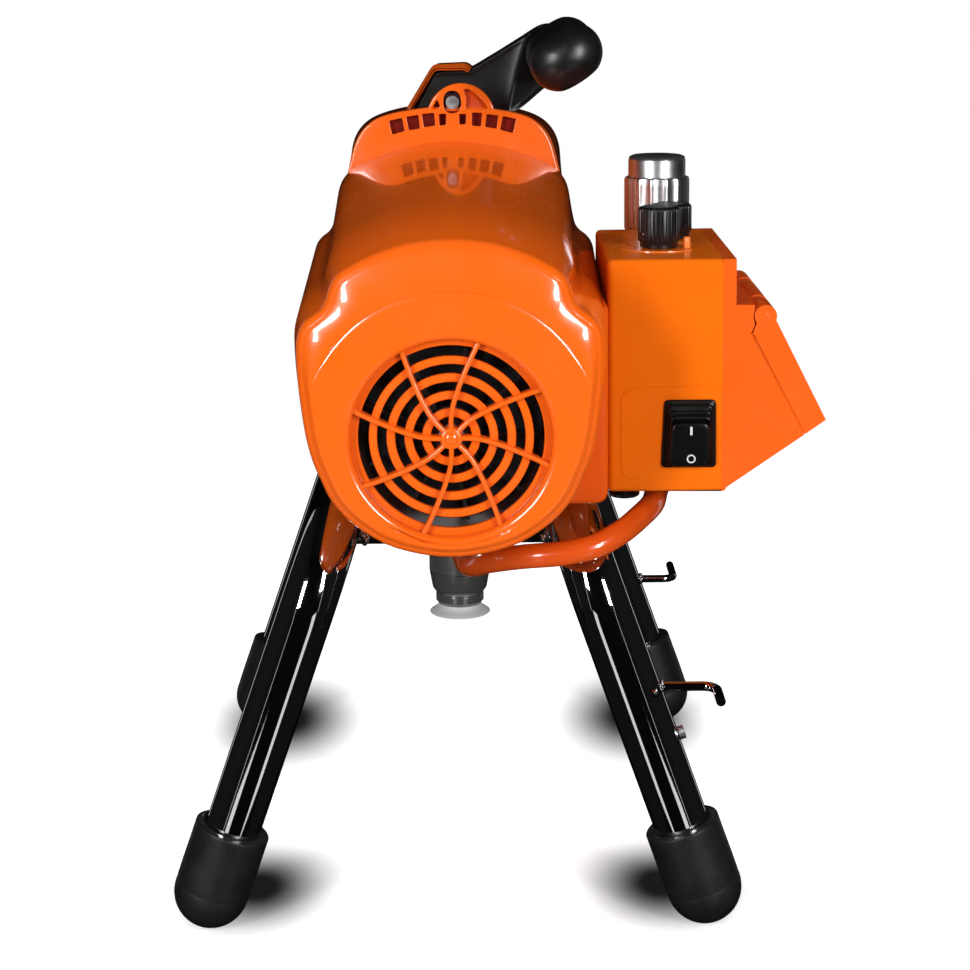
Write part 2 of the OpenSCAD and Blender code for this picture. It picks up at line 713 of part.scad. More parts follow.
module prime_valve() {
    color("goldenrod") difference() {
        union() {
            translate([bowl_x, prime_y, prime_z]) rotate([-90, 0, 0]) cylinder(r = 11, h = 9, $fn = 6);
            y_rod(7, prime_y, prime_y + 16, bowl_x, prime_z);
        }
        y_rod(3 + run, prime_y + 2, prime_y + 17, bowl_x, prime_z);
    }
}
// The black lever and the steel stem that it turns
module prime_lever() {
    color("black") difference() {
        union() {
            y_rod(10, prime_y + 16 + gap, prime_y + 26, bowl_x, prime_z);
            box_between([bowl_x - 4.5, prime_y + 18, prime_z], [bowl_x + 4.5, prime_y + 26, prime_z + 30]);
            y_rod(4.5, prime_y + 18, prime_y + 26, bowl_x, prime_z + 30);
        }
        y_rod(3 + mate, prime_y + 16, prime_y + 24 + mate, bowl_x, prime_z);
    }
    color("silver") y_rod(3, prime_y + 3, prime_y + 24, bowl_x, prime_z);
}
module drain_barb() {
    difference() {
        union() {
            y_rod(6, prime_y, prime_y + 6, bowl_x, block_z + 44);
            y_rod(4, prime_y + 6, prime_y + 22, bowl_x, block_z + 44);
            for (y = [10, 15, 20]) translate([bowl_x, prime_y + y, block_z + 44]) rotate([-90, 0, 0])
                cylinder(r1 = 5, r2 = 4, h = 2);
        }
        y_rod(2.5, prime_y - 1, prime_y + 23, bowl_x, block_z + 44);
    }
}
outlet_x = bowl_x + block_half;
spray_r = 6.6;
module spray_outlet() {
    difference() {
        union() {
            translate([outlet_x, bowl_y, block_z + 44]) rotate([0, 90, 0]) cylinder(r = 10, h = 8, $fn = 6);
            x_rod(spray_r, outlet_x + 8, outlet_x + 20, bowl_y, block_z + 44);
        }
        x_rod(3.5, outlet_x - 1, outlet_x + 21, bowl_y, block_z + 44);
    }
}

module block_fittings() {
    color("silver") {
        drain_barb();
        spray_outlet();
    }
}

/* ---- covers ---- */
upper_low = rail_z + 42;
upper_half = [[64, 101], [61.6, 117], [56.7, 129.6], [39.5, 134], [16.5, 138.4]];
// Outline of the upper housing, inset by d, down to the height low
function upper_outline(d, low) = concat(
    [for (p = upper_half) [p.x - d, axis_z + p.y - d]],
    [for (i = [len(upper_half) - 1 : -1 : 0]) [d - upper_half[i].x, axis_z + upper_half[i].y - d]],
    [[d - 64, low], [64 - d, low]]);
vent_x = [5.7, 13.7, 22.5, 31.7];
vent_w = [3.9, 6.6, 7.1, 9];
vent_h = [6.3, 7.8, 8.5, 8.7];
vent_top = [134.8, 135.6, 134.4, 132.5];
front_y = yoke_case_end + 26;
module upper_housing() {
    color("darkorange") difference() {
        union() {
            y_plate(upper_outline(0, upper_low), drive_y, front_y);
            y_rod(ear_r, drive_y, drive_y + 4, ear_x, ear_z);
        }
        y_plate(upper_outline(cover_wall, upper_low - 1), drive_y + 3, front_y + 1);
        y_rod(can_r + 4, drive_y - 1, drive_y + 4, 0, axis_z);
        for (s = [-1, 1], i = [0 : len(vent_x) - 1])
            box_between([s * vent_x[i] - vent_w[i] / 2, drive_y - 3, axis_z + vent_top[i] - vent_h[i]],
                [s * vent_x[i] + vent_w[i] / 2, drive_y + 4, axis_z + vent_top[i]]);
        y_rod(2.2, drive_y - 3, drive_y + 4, 0, ear_z + 9.4);
        y_plate([[6.4, ear_z + 5], [18, ear_z + 5], [14, ear_z + 12], [6.4, ear_z + 16]], drive_y - 3, drive_y + 4);
    }
}
module screw_along_y(x, y, z, len) {
    y_rod(3.6, y - 2, y, x, z);
    y_rod(2.2 - mate, y, y + len, x, z);
}
root_y = drive_y + 33;
root_end = root_y + 28;
module handle_hood() {
    z0 = upper_top - 1.9;
    outer = [[-27, z0 - 2], [-13.5, z0 + 23], [-11, z0 + 25], [8.5, z0 + 25.6], [13, z0 + 21.5], [23, z0 - 2]];
    inner = [[-23.5, z0 - 3], [-11.5, z0 + 20.6], [-10, z0 + 22.4], [7.5, z0 + 22.8], [10, z0 + 20.6], [19, z0 - 3]];
    color("darkorange") difference() {
        y_plate(outer, root_y - 2, front_y);
        y_plate(inner, root_y - 3, front_y - cover_wall);
        box_between([8.6, root_y - 3, z0], [40, root_end + 2, z0 + 30]);
        y_plate(upper_outline(0, upper_low), root_y - 3, front_y + 1);
    }
}
module front_cover() {
    color("darkorange") difference() {
        y_plate(upper_outline(cover_wall + mate, upper_low), front_y - 6, front_y);
        for (p = cover_screw_at) y_rod(2.3, front_y - 7, front_y + 1, p.x, p.y);
    }
}
cover_screw_at = [for (x = [-44, 44], z = [axis_z, axis_z + 110]) [x, z]];
// Every screw that shows: on the ear, on the front cover and on the earthing point
module machine_screws() {
    color("silver") {
        ground_screw();
        screw_along_y(0, drive_y, ear_z + 9.4, 14);
        for (p = cover_screw_at) {
            y_rod(4, front_y, front_y + 2, p.x, p.y);
            y_rod(2.2, front_y - 6, front_y, p.x, p.y);
        }
    }
}
module side_cheek() {
    x1 = box_x - mate;
    z0 = rail_z + tube_r + 0.6;
    color("darkorange") difference() {
        y_plate(rounded([[50, z0], [x1, z0], [x1, axis_z + 44], [68, axis_z + 44]], 5),
            -5, drive_y - 3);
        shroud_body(-gap, shroud_y - 1, drive_y + 1);
    }
}
module carry_handle() {
    arm = [[-10.5, upper_top], [-9.6, upper_top + 19.2], [8.2, upper_top + 19.2], [12, upper_top + 21],
           [41, axis_z + 176], [56, axis_z + 180], [66, axis_z + 165], [53, axis_z + 150],
           [33.5, upper_top + 0.6]];
    color("black") {
        y_plate(arm, root_y, root_end);
        translate([grip_x, grip_y + grip_len - grip_h / 2, grip_z]) rotate([90, 0, 0]) rotate([0, 0, grip_tilt])
            grip_solid();
    }
}
// A round-ended oval bar along the local -Z
module grip_solid() {
    straight = grip_len - grip_h;
    bulge = (grip_w - grip_h) / 2;
    for (x = [-bulge, bulge]) translate([x, 0, 0]) {
        cylinder(r = grip_h / 2, h = straight);
        sphere(r = grip_h / 2);
        translate([0, 0, straight]) sphere(r = grip_h / 2);
    }
    translate([-bulge, -grip_h / 2, 0]) cube([2 * bulge, grip_h, straight]);
    for (z = [0, straight]) translate([-bulge, 0, z]) rotate([0, 90, 0]) cylinder(r = grip_h / 2, h = 2 * bulge);
}

/* ---- control box ---- */
module control_box() {
    color("orange") translate([peg_x, peg_y, box_top]) cylinder(r = 1.65, h = 5.6);
    color("orange") difference() {
        box_between([box_x, box_y, box_z], [seam_x, box_end, box_top]);
        box_between([box_x + box_wall, box_y + box_wall, box_z + box_wall],
            [seam_x + 1, box_end - box_wall, box_top - box_wall]);
        box_between([switch_x - 11.6, box_y - 1, switch_z - 14.6], [switch_x + 11.6, box_y + 5, switch_z + 14.6]);
        for (k = [[knob_x, knob_y], [knob2_x, knob2_y]]) translate([k.x, k.y, box_top - 5]) cylinder(r = 5, h = 6);
        translate([gland_x, gland_y, box_z - 1]) cylinder(r = 7, h = 5);
    }
}
cover_pts = [[seam_x, box_top], [seam_x + 6.5, box_top], [seam_x + 6.5, hinge_z + 5.7], [hinge_x - 5.5, hinge_z + 5.7],
             [hinge_x - 5.5, hinge_z - 4.6], [hinge_x - 7.2, hinge_z - 8.4], [hinge_x + 19.6, hinge_z - 59.3],
             [seam_x, box_z + 0.4]];
cover_in = [[seam_x - 1, box_top - 2.5], [seam_x + 4, box_top - 2.5], [seam_x + 4, hinge_z + 3.2],
            [hinge_x - 8.4, hinge_z + 3.2], [hinge_x - 10, hinge_z - 9], [hinge_x + 16, hinge_z - 58.4],
            [seam_x - 1, box_z + 3.4]];
slope_mid = [hinge_x + 6.2, 0, hinge_z - 33.85];
module on_slope(y) {
    translate([slope_mid.x, y, slope_mid.z]) rotate([0, slope_a, 0]) children();
}
box_mid = box_y + box_depth / 2;
key_y = [-18, 0, 18];
module knuckle(y0, y1) {
    difference() {
        union() {
            y_rod(barrel_r - 0.6, y0, y1, hinge_x, hinge_z);
            box_between([hinge_x - 8.4, y0, hinge_z - 2.4], [hinge_x, y1, hinge_z + 2.4]);
        }
        y_rod(pin_r + mate, y0 - 1, y1 + 1, hinge_x, hinge_z);
    }
}
knuckle_y = [box_y + 26, box_end - 34];
knuckle_w = 8;
module side_cover() {
    color("darkorange") {
        difference() {
            y_plate(cover_pts, box_y, box_end);
            y_plate(cover_in, box_y + box_wall, box_end - box_wall);
            y_rod(barrel_r + 0.6, box_y - 1, box_end + 1, hinge_x, hinge_z);
            on_slope(box_mid) translate([-14, -30, -4]) cube([22, 60, 8]);
            for (y = key_y) on_slope(box_mid + y) translate([15, 0, -5]) cylinder(r = 4.4, h = 8);
        }
        for (y = knuckle_y) knuckle(y, y + knuckle_w);
    }
}
module display_flap() {
    plate = [[hinge_x - 4.2, hinge_z - 3], [hinge_x + 5.1, hinge_z - 2], [hinge_x + flap_reach, hinge_z - 52],
             [hinge_x + 20.2, hinge_z - 59], [hinge_x - 6.2, hinge_z - 8.2]];
    inner = [[hinge_x - 8, hinge_z - 9.4], [hinge_x + 2.6, hinge_z - 5.6], [hinge_x + 26.2, hinge_z - 50.6],
             [hinge_x + 16, hinge_z - 58.4]];
    color("darkorange") difference() {
        union() {
            y_rod(barrel_r, box_y + 0.4, box_end - 0.4, hinge_x, hinge_z);
            y_plate(plate, box_y + 0.4, box_end - 0.4);
        }
        y_plate(inner, box_y + 3, box_end - 3);
        y_rod(pin_r + run, box_y - 1, box_end + 1, hinge_x, hinge_z);
        for (y = knuckle_y) {
            y_rod(barrel_r + 2, y - gap, y + knuckle_w + gap, hinge_x, hinge_z);
            box_between([hinge_x - 10, y - gap, hinge_z - 4.5], [hinge_x, y + knuckle_w + gap, hinge_z + 6]);
        }
    }
}
module hinge_pin() {
    color("silver") y_rod(pin_r, box_y + 1, box_end - 1, hinge_x, hinge_z);
}
module display_panel() {
    color("darkslategray") on_slope(box_mid) {
        translate([-14 + mate, -30 + mate, -2]) cube([22 - 2 * mate, 60 - 2 * mate, 4]);
    }
}
module key_solid(i) {
    color("black") on_slope(box_mid + key_y[i]) translate([15, 0, -4]) {
        translate([0, 0, 1.6]) cylinder(r = 4, h = 5.4);
        cylinder(r = 3, h = 1.6);
    }
}
module key_1() key_solid(0);
module key_2() key_solid(1);
module key_3() key_solid(2);
board_x = box_x + 12;
board_z = box_z + 52;
board_end = box_end - 8;
// Circuit board on its heat sink, and the power supply below
module control_board() {
    sink_x = box_x + box_wall;
    color("silver") box_between([sink_x, box_y + 14, board_z], [board_x - 3, board_end, box_top - 26]);
    color("silver") for (y = [box_y + 20 : 20 : board_end - 6], z = [board_z + 4, box_top - 30])
        x_rod(1.6, board_x - 3, board_x, y, z);
    color("green") {
        box_between([board_x, box_y + 14, board_z], [board_x + 1.6, board_end, box_top - 26]);
        box_between([board_x + 1.6, box_y + 60, board_z + 4], [board_x + 14, box_y + 74, board_z + 18]);
        for (y = [box_y + 24, box_y + 40]) x_rod(6, board_x + 1.6, board_x + 22, y, board_z + 8);
    }
    color("dimgray") box_between([sink_x + 16, box_y + 44, box_z + box_wall], [sink_x + 50, board_end, box_z + 34]);
}
module knob_solid(x, y, h, r) {
    skirt = 3;
    translate([x, y, box_top + gap]) difference() {
        union() {
            cylinder(r = r - 1.1, h = skirt);
            translate([0, 0, skirt]) cylinder(r = r, h = h - skirt - gap);
        }
        translate([0, 0, -1]) cylinder(r = 3 + mate, h = h - 5);
    }
}
module pot_shaft(x, y, h) {
    translate([x, y, box_top - 8]) cylinder(r = 3, h = h + 1);
}
module pot_body(x, y) {
    color("goldenrod") translate([x, y, 0]) difference() {
        union() {
            translate([0, 0, box_top - 22]) cylinder(r = 9, h = 22 - box_wall);
            translate([0, 0, box_top - box_wall]) cylinder(r = 5 - mate, h = box_wall);
        }
        translate([0, 0, box_top - 8.5]) cylinder(r = 3 + run, h = 20);
    }
}
// Each knob with the steel shaft pressed into it
module pressure_knob() {
    color("black") knob_solid(knob_x, knob_y, knob_h, knob_r);
    color("silver") pot_shaft(knob_x, knob_y, knob_h);
}
module mode_knob() {
    color("black") knob_solid(knob2_x, knob2_y, knob2_h, knob_r);
    color("silver") pot_shaft(knob2_x, knob2_y, knob2_h);
}
module control_pots() {
    pot_body(knob_x, knob_y);
    pot_body(knob2_x, knob2_y);
}
module switch_frame() {
    half_w = switch_w / 2;
    half_h = switch_h / 2;
    pts = rounded([[-half_w, -half_h], [half_w, -half_h], [half_w, half_h], [-half_w, half_h]], 3);
    color("black") translate([switch_x, box_y, switch_z]) difference() {
        union() {
            rotate([90, 0, 0]) linear_extrude(5) polygon(pts);
            box_between([-11.6 + mate, 0, -14.6 + mate], [11.6 - mate, 20, 14.6 - mate]);
        }
        box_between([-9.8, -6, -12.9], [9.8, 9, 12.9]);
    }
}
rocker_y = box_y + 3;
module switch_rocker() {
    half = 10.8;
    pts = [[-9, half], [-6.4, 0], [-4.6, -half], [0, -half], [2.4, 0], [0, half]];
    color("black") translate([switch_x - 9.4, rocker_y, switch_z]) rotate([90, 0, 90])
        linear_extrude(18.8) polygon(pts);
}
gland_x = 85.5;
gland_y = 28;
gland_bore = 3.6;
module cable_gland() {
    color("black") translate([gland_x, gland_y, box_z]) difference() {
        union() {
            translate([0, 0, -6]) rotate([0, 0, 30]) cylinder(r = 9.4, h = 6, $fn = 6);
            translate([0, 0, -1]) cylinder(r = 7 - 5 * mate, h = 9);
        }
        translate([0, 0, -7]) cylinder(r = gland_bore, h = 20);
    }
}

/* ---- nodes ---- */
module place() {
    translate(-mid) children();
}
place() stand_left();
place() stand_right();
place() cross_members();
place() rubber_boots();
place() rod_hooks();
place() machine_screws();
place() motor_shroud();
place() fan_grille();
place() cooling_fan();
place() motor_end_bells();
place() motor_can();
place() motor_bearings();
place() stator_core();
place() stator_windings();
place() rotor_core();
place() rotor_shaft();
place() gear_case();
place() yoke_case();
place() crank_bearings();
place() crank_shaft();
place() crank_gear();
place() crank_roller();
place() scotch_yoke();
place() piston_rod();
place() piston();
place() pump_cylinder();
place() rod_packing();
place() jam_nut();
place() inlet_valve();
place() inlet_ball();
place() inlet_cap();
place() hose_fittings();
place() fluid_hose();
place() filter_block();
place() block_bracket();
place() filter_bowl();
place() filter_element();
place() prime_valve();
place() prime_lever();
place() block_fittings();
place() upper_housing();
place() handle_hood();
place() front_cover();
place() side_cheek();
place() carry_handle();
place() control_box();
place() side_cover();
place() display_flap();
place() hinge_pin();
place() display_panel();
place() key_1();
place() key_2();
place() key_3();
place() control_board();
place() pressure_knob();
place() mode_knob();
place() control_pots();
place() switch_frame();
place() switch_rocker();
place() cable_gland();
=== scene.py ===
# %% [markdown]
# # An airless paint sprayer, cell by cell
#
# The machine is a piston pump on a chrome stand. An electric motor under a glossy orange shroud turns a
# crank, the crank lifts the pump rod, and the paint leaves through the filter on the right.
#
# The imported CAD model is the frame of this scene. It has every piece at its real size, so here the work is
# the look: soft edges, moulded details and finishes. The frame is loaded first, because every new piece
# takes its place from it.
# %% Load the frame
import json
import math

import bmesh
import bpy
from mathutils import Matrix, Vector


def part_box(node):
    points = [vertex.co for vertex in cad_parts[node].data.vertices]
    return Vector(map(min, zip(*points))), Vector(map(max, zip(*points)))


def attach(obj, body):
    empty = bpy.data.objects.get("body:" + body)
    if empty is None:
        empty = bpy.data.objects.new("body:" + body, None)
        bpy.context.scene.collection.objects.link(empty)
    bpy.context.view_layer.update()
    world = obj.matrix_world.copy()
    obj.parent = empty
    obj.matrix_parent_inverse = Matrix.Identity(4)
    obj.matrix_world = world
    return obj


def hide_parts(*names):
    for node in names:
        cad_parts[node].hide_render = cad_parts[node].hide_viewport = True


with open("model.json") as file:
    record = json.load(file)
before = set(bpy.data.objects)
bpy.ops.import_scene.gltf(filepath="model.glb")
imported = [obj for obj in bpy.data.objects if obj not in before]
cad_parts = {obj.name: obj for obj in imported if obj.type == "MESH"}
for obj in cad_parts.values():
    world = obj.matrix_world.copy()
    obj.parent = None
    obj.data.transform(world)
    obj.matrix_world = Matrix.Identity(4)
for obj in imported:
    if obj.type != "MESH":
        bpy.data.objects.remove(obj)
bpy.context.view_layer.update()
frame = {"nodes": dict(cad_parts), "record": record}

# %% [markdown]
# ## One way to say where things are
#
# A maker measures this machine from three places: the motor's axis, the rear legs and the floor. The
# function `at` turns such a measure, in millimetres, into a point of the scene, in metres. The axis and the
# legs come from boxes of the frame, and the floor is at zero.
# %% Measuring from the motor, the rear legs and the floor
MM = 0.001
can_low, can_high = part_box("motor_can")
stand_low, stand_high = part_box("stand_right")
TUBE_R = 14
MOTOR_X = (can_low.x + can_high.x) / 2
MOTOR_Z = (can_low.z + can_high.z) / 2 / MM
REAR_LEG_Y = stand_low.y + TUBE_R * MM
STAND_LEN = (stand_high.y - stand_low.y) / MM - 2 * TUBE_R
RAIL_X, RAIL_Z = 60, 203
LEG_LEAN = math.radians(19.2)


def at(x, y, z):
    """A point in the scene, from millimetres off the motor axis, the rear legs and the floor."""
    return Vector((MOTOR_X + x * MM, REAR_LEG_Y + y * MM, z * MM))


def across(outline, y, x=0, z=0):
    """A flat outline of (across, up) points, set across the machine at y and moved by x and z."""
    return [at(x + p[0], y, z + p[1]) for p in outline]


def node_mm(node):
    """Lowest and highest corner of a CAD node, in the maker's millimetres."""
    return [((c - at(0, 0, 0)) / MM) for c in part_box(node)]


print("motor axis at height", round(MOTOR_Z, 1), "mm, legs", round(STAND_LEN), "mm apart")

# %% [markdown]
# ## Objects and shader nodes in one line
#
# Two things are done again and again below: a bmesh becomes an object, and a shader node gets its settings
# and its links. Each has a short helper.
# %% Helpers


def add_object(name, data):
    """Links a new object with this data to the scene."""
    obj = bpy.data.objects.new(name, data)
    bpy.context.scene.collection.objects.link(obj)
    return obj


def mesh_from(name, bm, paint):
    """A mesh with one material, made from a bmesh that is freed."""
    mesh = bpy.data.meshes.new(name)
    bm.to_mesh(mesh)
    bm.free()
    mesh.materials.append(paint)
    return mesh


def set_inputs(tree, node, values):
    """Sets sockets by name or number. A value is a constant, or the output of another node to link."""
    for socket, value in values.items():
        if isinstance(value, bpy.types.NodeSocket):
            tree.links.new(value, node.inputs[socket])
        else:
            node.inputs[socket].default_value = value


def add_node(tree, kind, values=None, **settings):
    """A shader node of one kind. settings are its properties, values go to its sockets."""
    node = tree.nodes.new("ShaderNode" + kind)
    for setting, value in settings.items():
        setattr(node, setting, value)
    set_inputs(tree, node, values or {})
    return node


def combine(tree, operation, first, second):
    """The sum, product or larger of two values, as a Math node's output."""
    return add_node(tree, "Math", {0: first, 1: second}, operation=operation).outputs[0]


def new_paint(name):
    """A material with nodes. Returns it, its node tree and its shader."""
    paint = bpy.data.materials.new(name)
    paint.use_nodes = True
    return paint, paint.node_tree, paint.node_tree.nodes["Principled BSDF"]


# %% [markdown]
# ## Camera
#
# The machine is seen from its motor end, a little from above, from about a metre away. A small lens shift
# and a gentle tilt share the work, so that its uprights stay nearly straight. The camera also rolls to one
# side by half a degree, as a camera does that is held by hand.
# %% The camera
camera = add_object("camera", bpy.data.cameras.new("camera"))
camera.location = at(14.72, -1080.5, 489.2)
tilt_down, pan_right, roll_left = math.radians(9.974), math.radians(0.079), math.radians(0.524)
aim = Matrix.Rotation(-pan_right, 3, "Z") @ Matrix.Rotation(math.radians(90) - tilt_down, 3, "X")
camera.rotation_euler = (aim @ Matrix.Rotation(-roll_left, 3, "Z")).to_euler()
camera.data.lens = 84.08
camera.data.shift_y = -0.15
bpy.context.scene.camera = camera
print("camera", [round(c, 3) for c in camera.location], "lens", camera.data.lens)

# %% [markdown]
# ## Studio
#
# Chrome shows the room more than itself, so the room matters. Two large soft lamps stand beside the camera.
# One behind the machine and a weak one above it only light dull surfaces. Dark cards round the set give the
# black bands that make chrome look like chrome, and narrow glowing cards give its bright lines. Cards are
# seen only in reflections, as cards that stand out of the picture are.
# %% Lamps
bpy.context.scene.view_settings.view_transform = "Standard"
MIDDLE = (0, 100, 240)


def soft_lamp(name, place, width, height, power):
    """A rectangular soft lamp that looks at the machine's middle, in the maker's millimetres and watts."""
    data = bpy.data.lights.new(name, "AREA")
    data.shape = "RECTANGLE"
    data.size, data.size_y = width * MM, height * MM
    data.energy = power
    lamp = add_object(name, data)
    lamp.location = at(*place)
    lamp.rotation_euler = (at(*MIDDLE) - at(*place)).to_track_quat("-Z", "Y").to_euler()
    lamp.visible_camera = False
    return lamp


soft_lamp("lamp_left", (-880, -1250, 700), 250, 680, 17)
soft_lamp("lamp_right", (900, -1250, 700), 250, 680, 17)
soft_lamp("lamp_top", (0, 250, 1500), 1300, 700, 1.5).visible_glossy = False
soft_lamp("lamp_back", (0, 1700, 900), 1600, 500, 9).visible_glossy = False

# %% Dark and glowing cards


def card(name, place, turn, width, height, glow, shade=0.01):
    """A flat card that shows only in reflections. glow above zero makes it a bright reflector."""
    bm = bmesh.new()
    bmesh.ops.create_grid(bm, x_segments=1, y_segments=1, size=0.5)
    bmesh.ops.scale(bm, vec=(width * MM, height * MM, 1), verts=bm.verts)
    spin = Matrix.Rotation(math.radians(turn[1]), 4, "Z") @ Matrix.Rotation(math.radians(turn[0]), 4, "X")
    bmesh.ops.transform(bm, matrix=Matrix.Translation(at(*place)) @ spin, verts=bm.verts)
    paint, tree, skin = new_paint(name)
    set_inputs(tree, skin, {"Base Color": (shade, shade, shade, 1), "Roughness": 1, "Specular IOR Level": 0,
                            "Emission Color": (1, 1, 1, 1), "Emission Strength": glow})
    obj = add_object(name, mesh_from(name, bm, paint))
    obj.visible_camera = obj.visible_diffuse = obj.visible_shadow = False


UPRIGHT, FLAT = 90, 0
for name, place, turned_by, width, height, glow in (
        ("card_front", (0, -1900, 400), (UPRIGHT, 0), 4200, 4200, 0),
        ("card_left", (-1600, 150, 400), (UPRIGHT, 90), 4200, 4200, 0.004),
        ("card_right", (1600, 150, 400), (UPRIGHT, 90), 4200, 4200, 0.004),
        ("card_roof", (0, 100, 2300), (FLAT, 0), 4200, 4800, 0),
        ("card_under", (0, 100, -1600), (FLAT, 0), 4200, 4800, 0),
        ("low_left", (-590, -1000, -480), (UPRIGHT, -30), 250, 620, 0.95),
        ("low_right", (600, -1000, -480), (UPRIGHT, 30), 250, 620, 0.95),
        ("strip_left", (-1060, -1150, 60), (UPRIGHT, -43), 34, 760, 0.75),
        ("strip_right", (1080, -1150, 60), (UPRIGHT, 43), 34, 760, 0.75),
        ("back_left", (-1250, 1500, 250), (UPRIGHT, 40), 240, 1500, 0.5),
        ("back_right", (1250, 1500, 250), (UPRIGHT, -40), 240, 1500, 0.5)):
    card(name, place, turned_by, width, height, glow)
card("card_back", (0, 2200, 400), (UPRIGHT, 0), 4200, 4200, 0, shade=0.004)

# %% [markdown]
# ## White floor and white background
#
# The floor is matte, and glows a little for the rays that see it directly, so that it is as white as the
# background. The glow fades out in the floor's corners with the floor itself. Soft dark patches behind the
# boots stand for the contact shadows.
# %% Helpers for the floor
FLOOR_GLOW = 0.68
BOOT_PATCHES = [(-106, 44, 56, 80), (106, 44, 56, 80), (-112, 304, 62, 110), (108, 304, 62, 110)]


def seen_directly(tree):
    """1 for a ray that comes from the camera, from a reflection or through glass, and otherwise 0."""
    rays = add_node(tree, "LightPath").outputs
    either = combine(tree, "MAXIMUM", rays["Is Camera Ray"], rays["Is Glossy Ray"])
    return combine(tree, "MAXIMUM", either, rays["Is Transmission Ray"])


def boot_shade(tree, spot, x, y, across, along):
    """0 in the dark patch behind a boot, rising softly to 1 outside it. Millimetres on the floor."""
    centre = at(x, y, 0)
    place = add_node(tree, "Mapping", {
        "Vector": spot, "Scale": (1 / (across * MM), 1 / (along * MM), 0),
        "Location": (-centre.x / (across * MM), -centre.y / (along * MM), 0)})
    apart = add_node(tree, "VectorMath", {0: place.outputs["Vector"]}, operation="LENGTH")
    soft = add_node(tree, "MapRange", {"Value": apart.outputs["Value"], "From Min": 0.15, "From Max": 1.0,
                                       "To Min": 0.01}, interpolation_type="SMOOTHSTEP")
    return soft.outputs["Result"]


# %% The floor's material
white_floor, tree, _ = new_paint("white_floor")
tree.nodes.clear()
spot = add_node(tree, "TexCoord").outputs["Object"]
light_left = boot_shade(tree, spot, *BOOT_PATCHES[0])
for patch in BOOT_PATCHES[1:]:
    light_left = combine(tree, "MULTIPLY", light_left, boot_shade(tree, spot, *patch))
pale_tone = add_node(tree, "Mix", {"A": (0, 0, 0, 1), "B": (0.9, 0.9, 0.9, 1), "Factor": light_left},
                     data_type="RGBA")
matte = add_node(tree, "BsdfDiffuse", {"Color": pale_tone.outputs["Result"]})
strength = combine(tree, "MULTIPLY", seen_directly(tree), FLOOR_GLOW)
glow = add_node(tree, "Emission", {"Strength": combine(tree, "MULTIPLY", strength, light_left)})
both = add_node(tree, "AddShader", {0: matte.outputs[0], 1: glow.outputs[0]})
reach = add_node(tree, "VectorMath", {0: spot}, operation="LENGTH")
edge = add_node(tree, "MapRange", {"Value": reach.outputs["Value"], "From Min": 0.45, "From Max": 1.1},
                interpolation_type="SMOOTHSTEP")
far = add_node(tree, "BsdfTransparent")
fade = add_node(tree, "MixShader", {"Fac": edge.outputs["Result"], 1: both.outputs[0], 2: far.outputs[0]})
add_node(tree, "OutputMaterial", {"Surface": fade.outputs[0]})
print("the floor's material has", len(tree.nodes), "nodes")

# %% The floor and the background
floor_bm = bmesh.new()
bmesh.ops.create_circle(floor_bm, cap_ends=True, segments=96, radius=4.0)
floor = add_object("floor", mesh_from("floor", floor_bm, white_floor))
floor.visible_glossy = False

world = bpy.data.worlds.new("studio")
bpy.context.scene.world = world
world.use_nodes = True
sky = world.node_tree
sky.nodes.clear()
fill = add_node(sky, "Background", {"Color": (0.22, 0.22, 0.22, 1)})
pale = add_node(sky, "Background", {"Color": (1, 1, 1, 1)})
sky_mix = add_node(sky, "MixShader", {"Fac": seen_directly(sky), 1: fill.outputs[0], 2: pale.outputs[0]})
add_node(sky, "OutputWorld", {"Surface": sky_mix.outputs[0]})

# %% [markdown]
# ## Finishes
#
# No factory finish is one flat colour. Moulded plastic has a faint skin texture, and its gloss varies where
# hands have been. Chrome carries smudges and pits, cast metal has a sandy skin, turned steel has fine rings.
# One recipe makes them all. Three noises of different size drive the colour, the roughness and the relief,
# all on Object coordinates, which are real metres here.
# %% The recipe


def noise(tree, coords, scale, detail, stretch):
    """A noise texture with `scale` features a metre, squeezed along each axis by `stretch`."""
    mapping = add_node(tree, "Mapping", {"Vector": coords, "Scale": stretch})
    texture = add_node(tree, "TexNoise", {"Vector": mapping.outputs["Vector"], "Scale": scale,
                                          "Detail": detail})
    return texture.outputs["Fac"]


def to_range(tree, value, low, high):
    """Stretches the middle of a noise over the range from low to high."""
    ramp = add_node(tree, "MapRange", {"Value": value, "From Min": 0.3, "From Max": 0.7,
                                       "To Min": low, "To Max": high})
    return ramp.outputs["Result"]


def finish(name, colour, rough, tone, metal=0.0, coat=0.0, smudge=(60, 0.05), grain=(900, 0.02),
           stretch=(1, 1, 1), specular=0.5):
    """A finish. tone, smudge and grain are (features a metre, amount), with the grain's in millimetres."""
    paint, tree, skin = new_paint(name)
    coords = add_node(tree, "TexCoord").outputs["Object"]
    darker = [c * (1 - tone[1]) for c in colour]
    lighter = [min(1, c * (1 + tone[1] / 2)) for c in colour]
    cloud = to_range(tree, noise(tree, coords, tone[0], 3, stretch), 0, 1)
    blend = add_node(tree, "Mix", {"A": (*darker, 1), "B": (*lighter, 1), "Factor": cloud}, data_type="RGBA")
    low, high = max(0.01, rough - smudge[1]), min(1, rough + smudge[1])
    gloss = to_range(tree, noise(tree, coords, smudge[0], 4, stretch), low, high)
    relief = noise(tree, coords, grain[0], 2, stretch)
    bump = add_node(tree, "Bump", {"Strength": 1.0, "Distance": grain[1] * MM, "Height": relief})
    set_inputs(tree, skin, {
        "Metallic": metal, "Specular IOR Level": specular, "Coat Weight": coat, "Coat Roughness": 0.03,
        "Base Color": blend.outputs["Result"], "Roughness": gloss, "Normal": bump.outputs["Normal"]})
    return paint


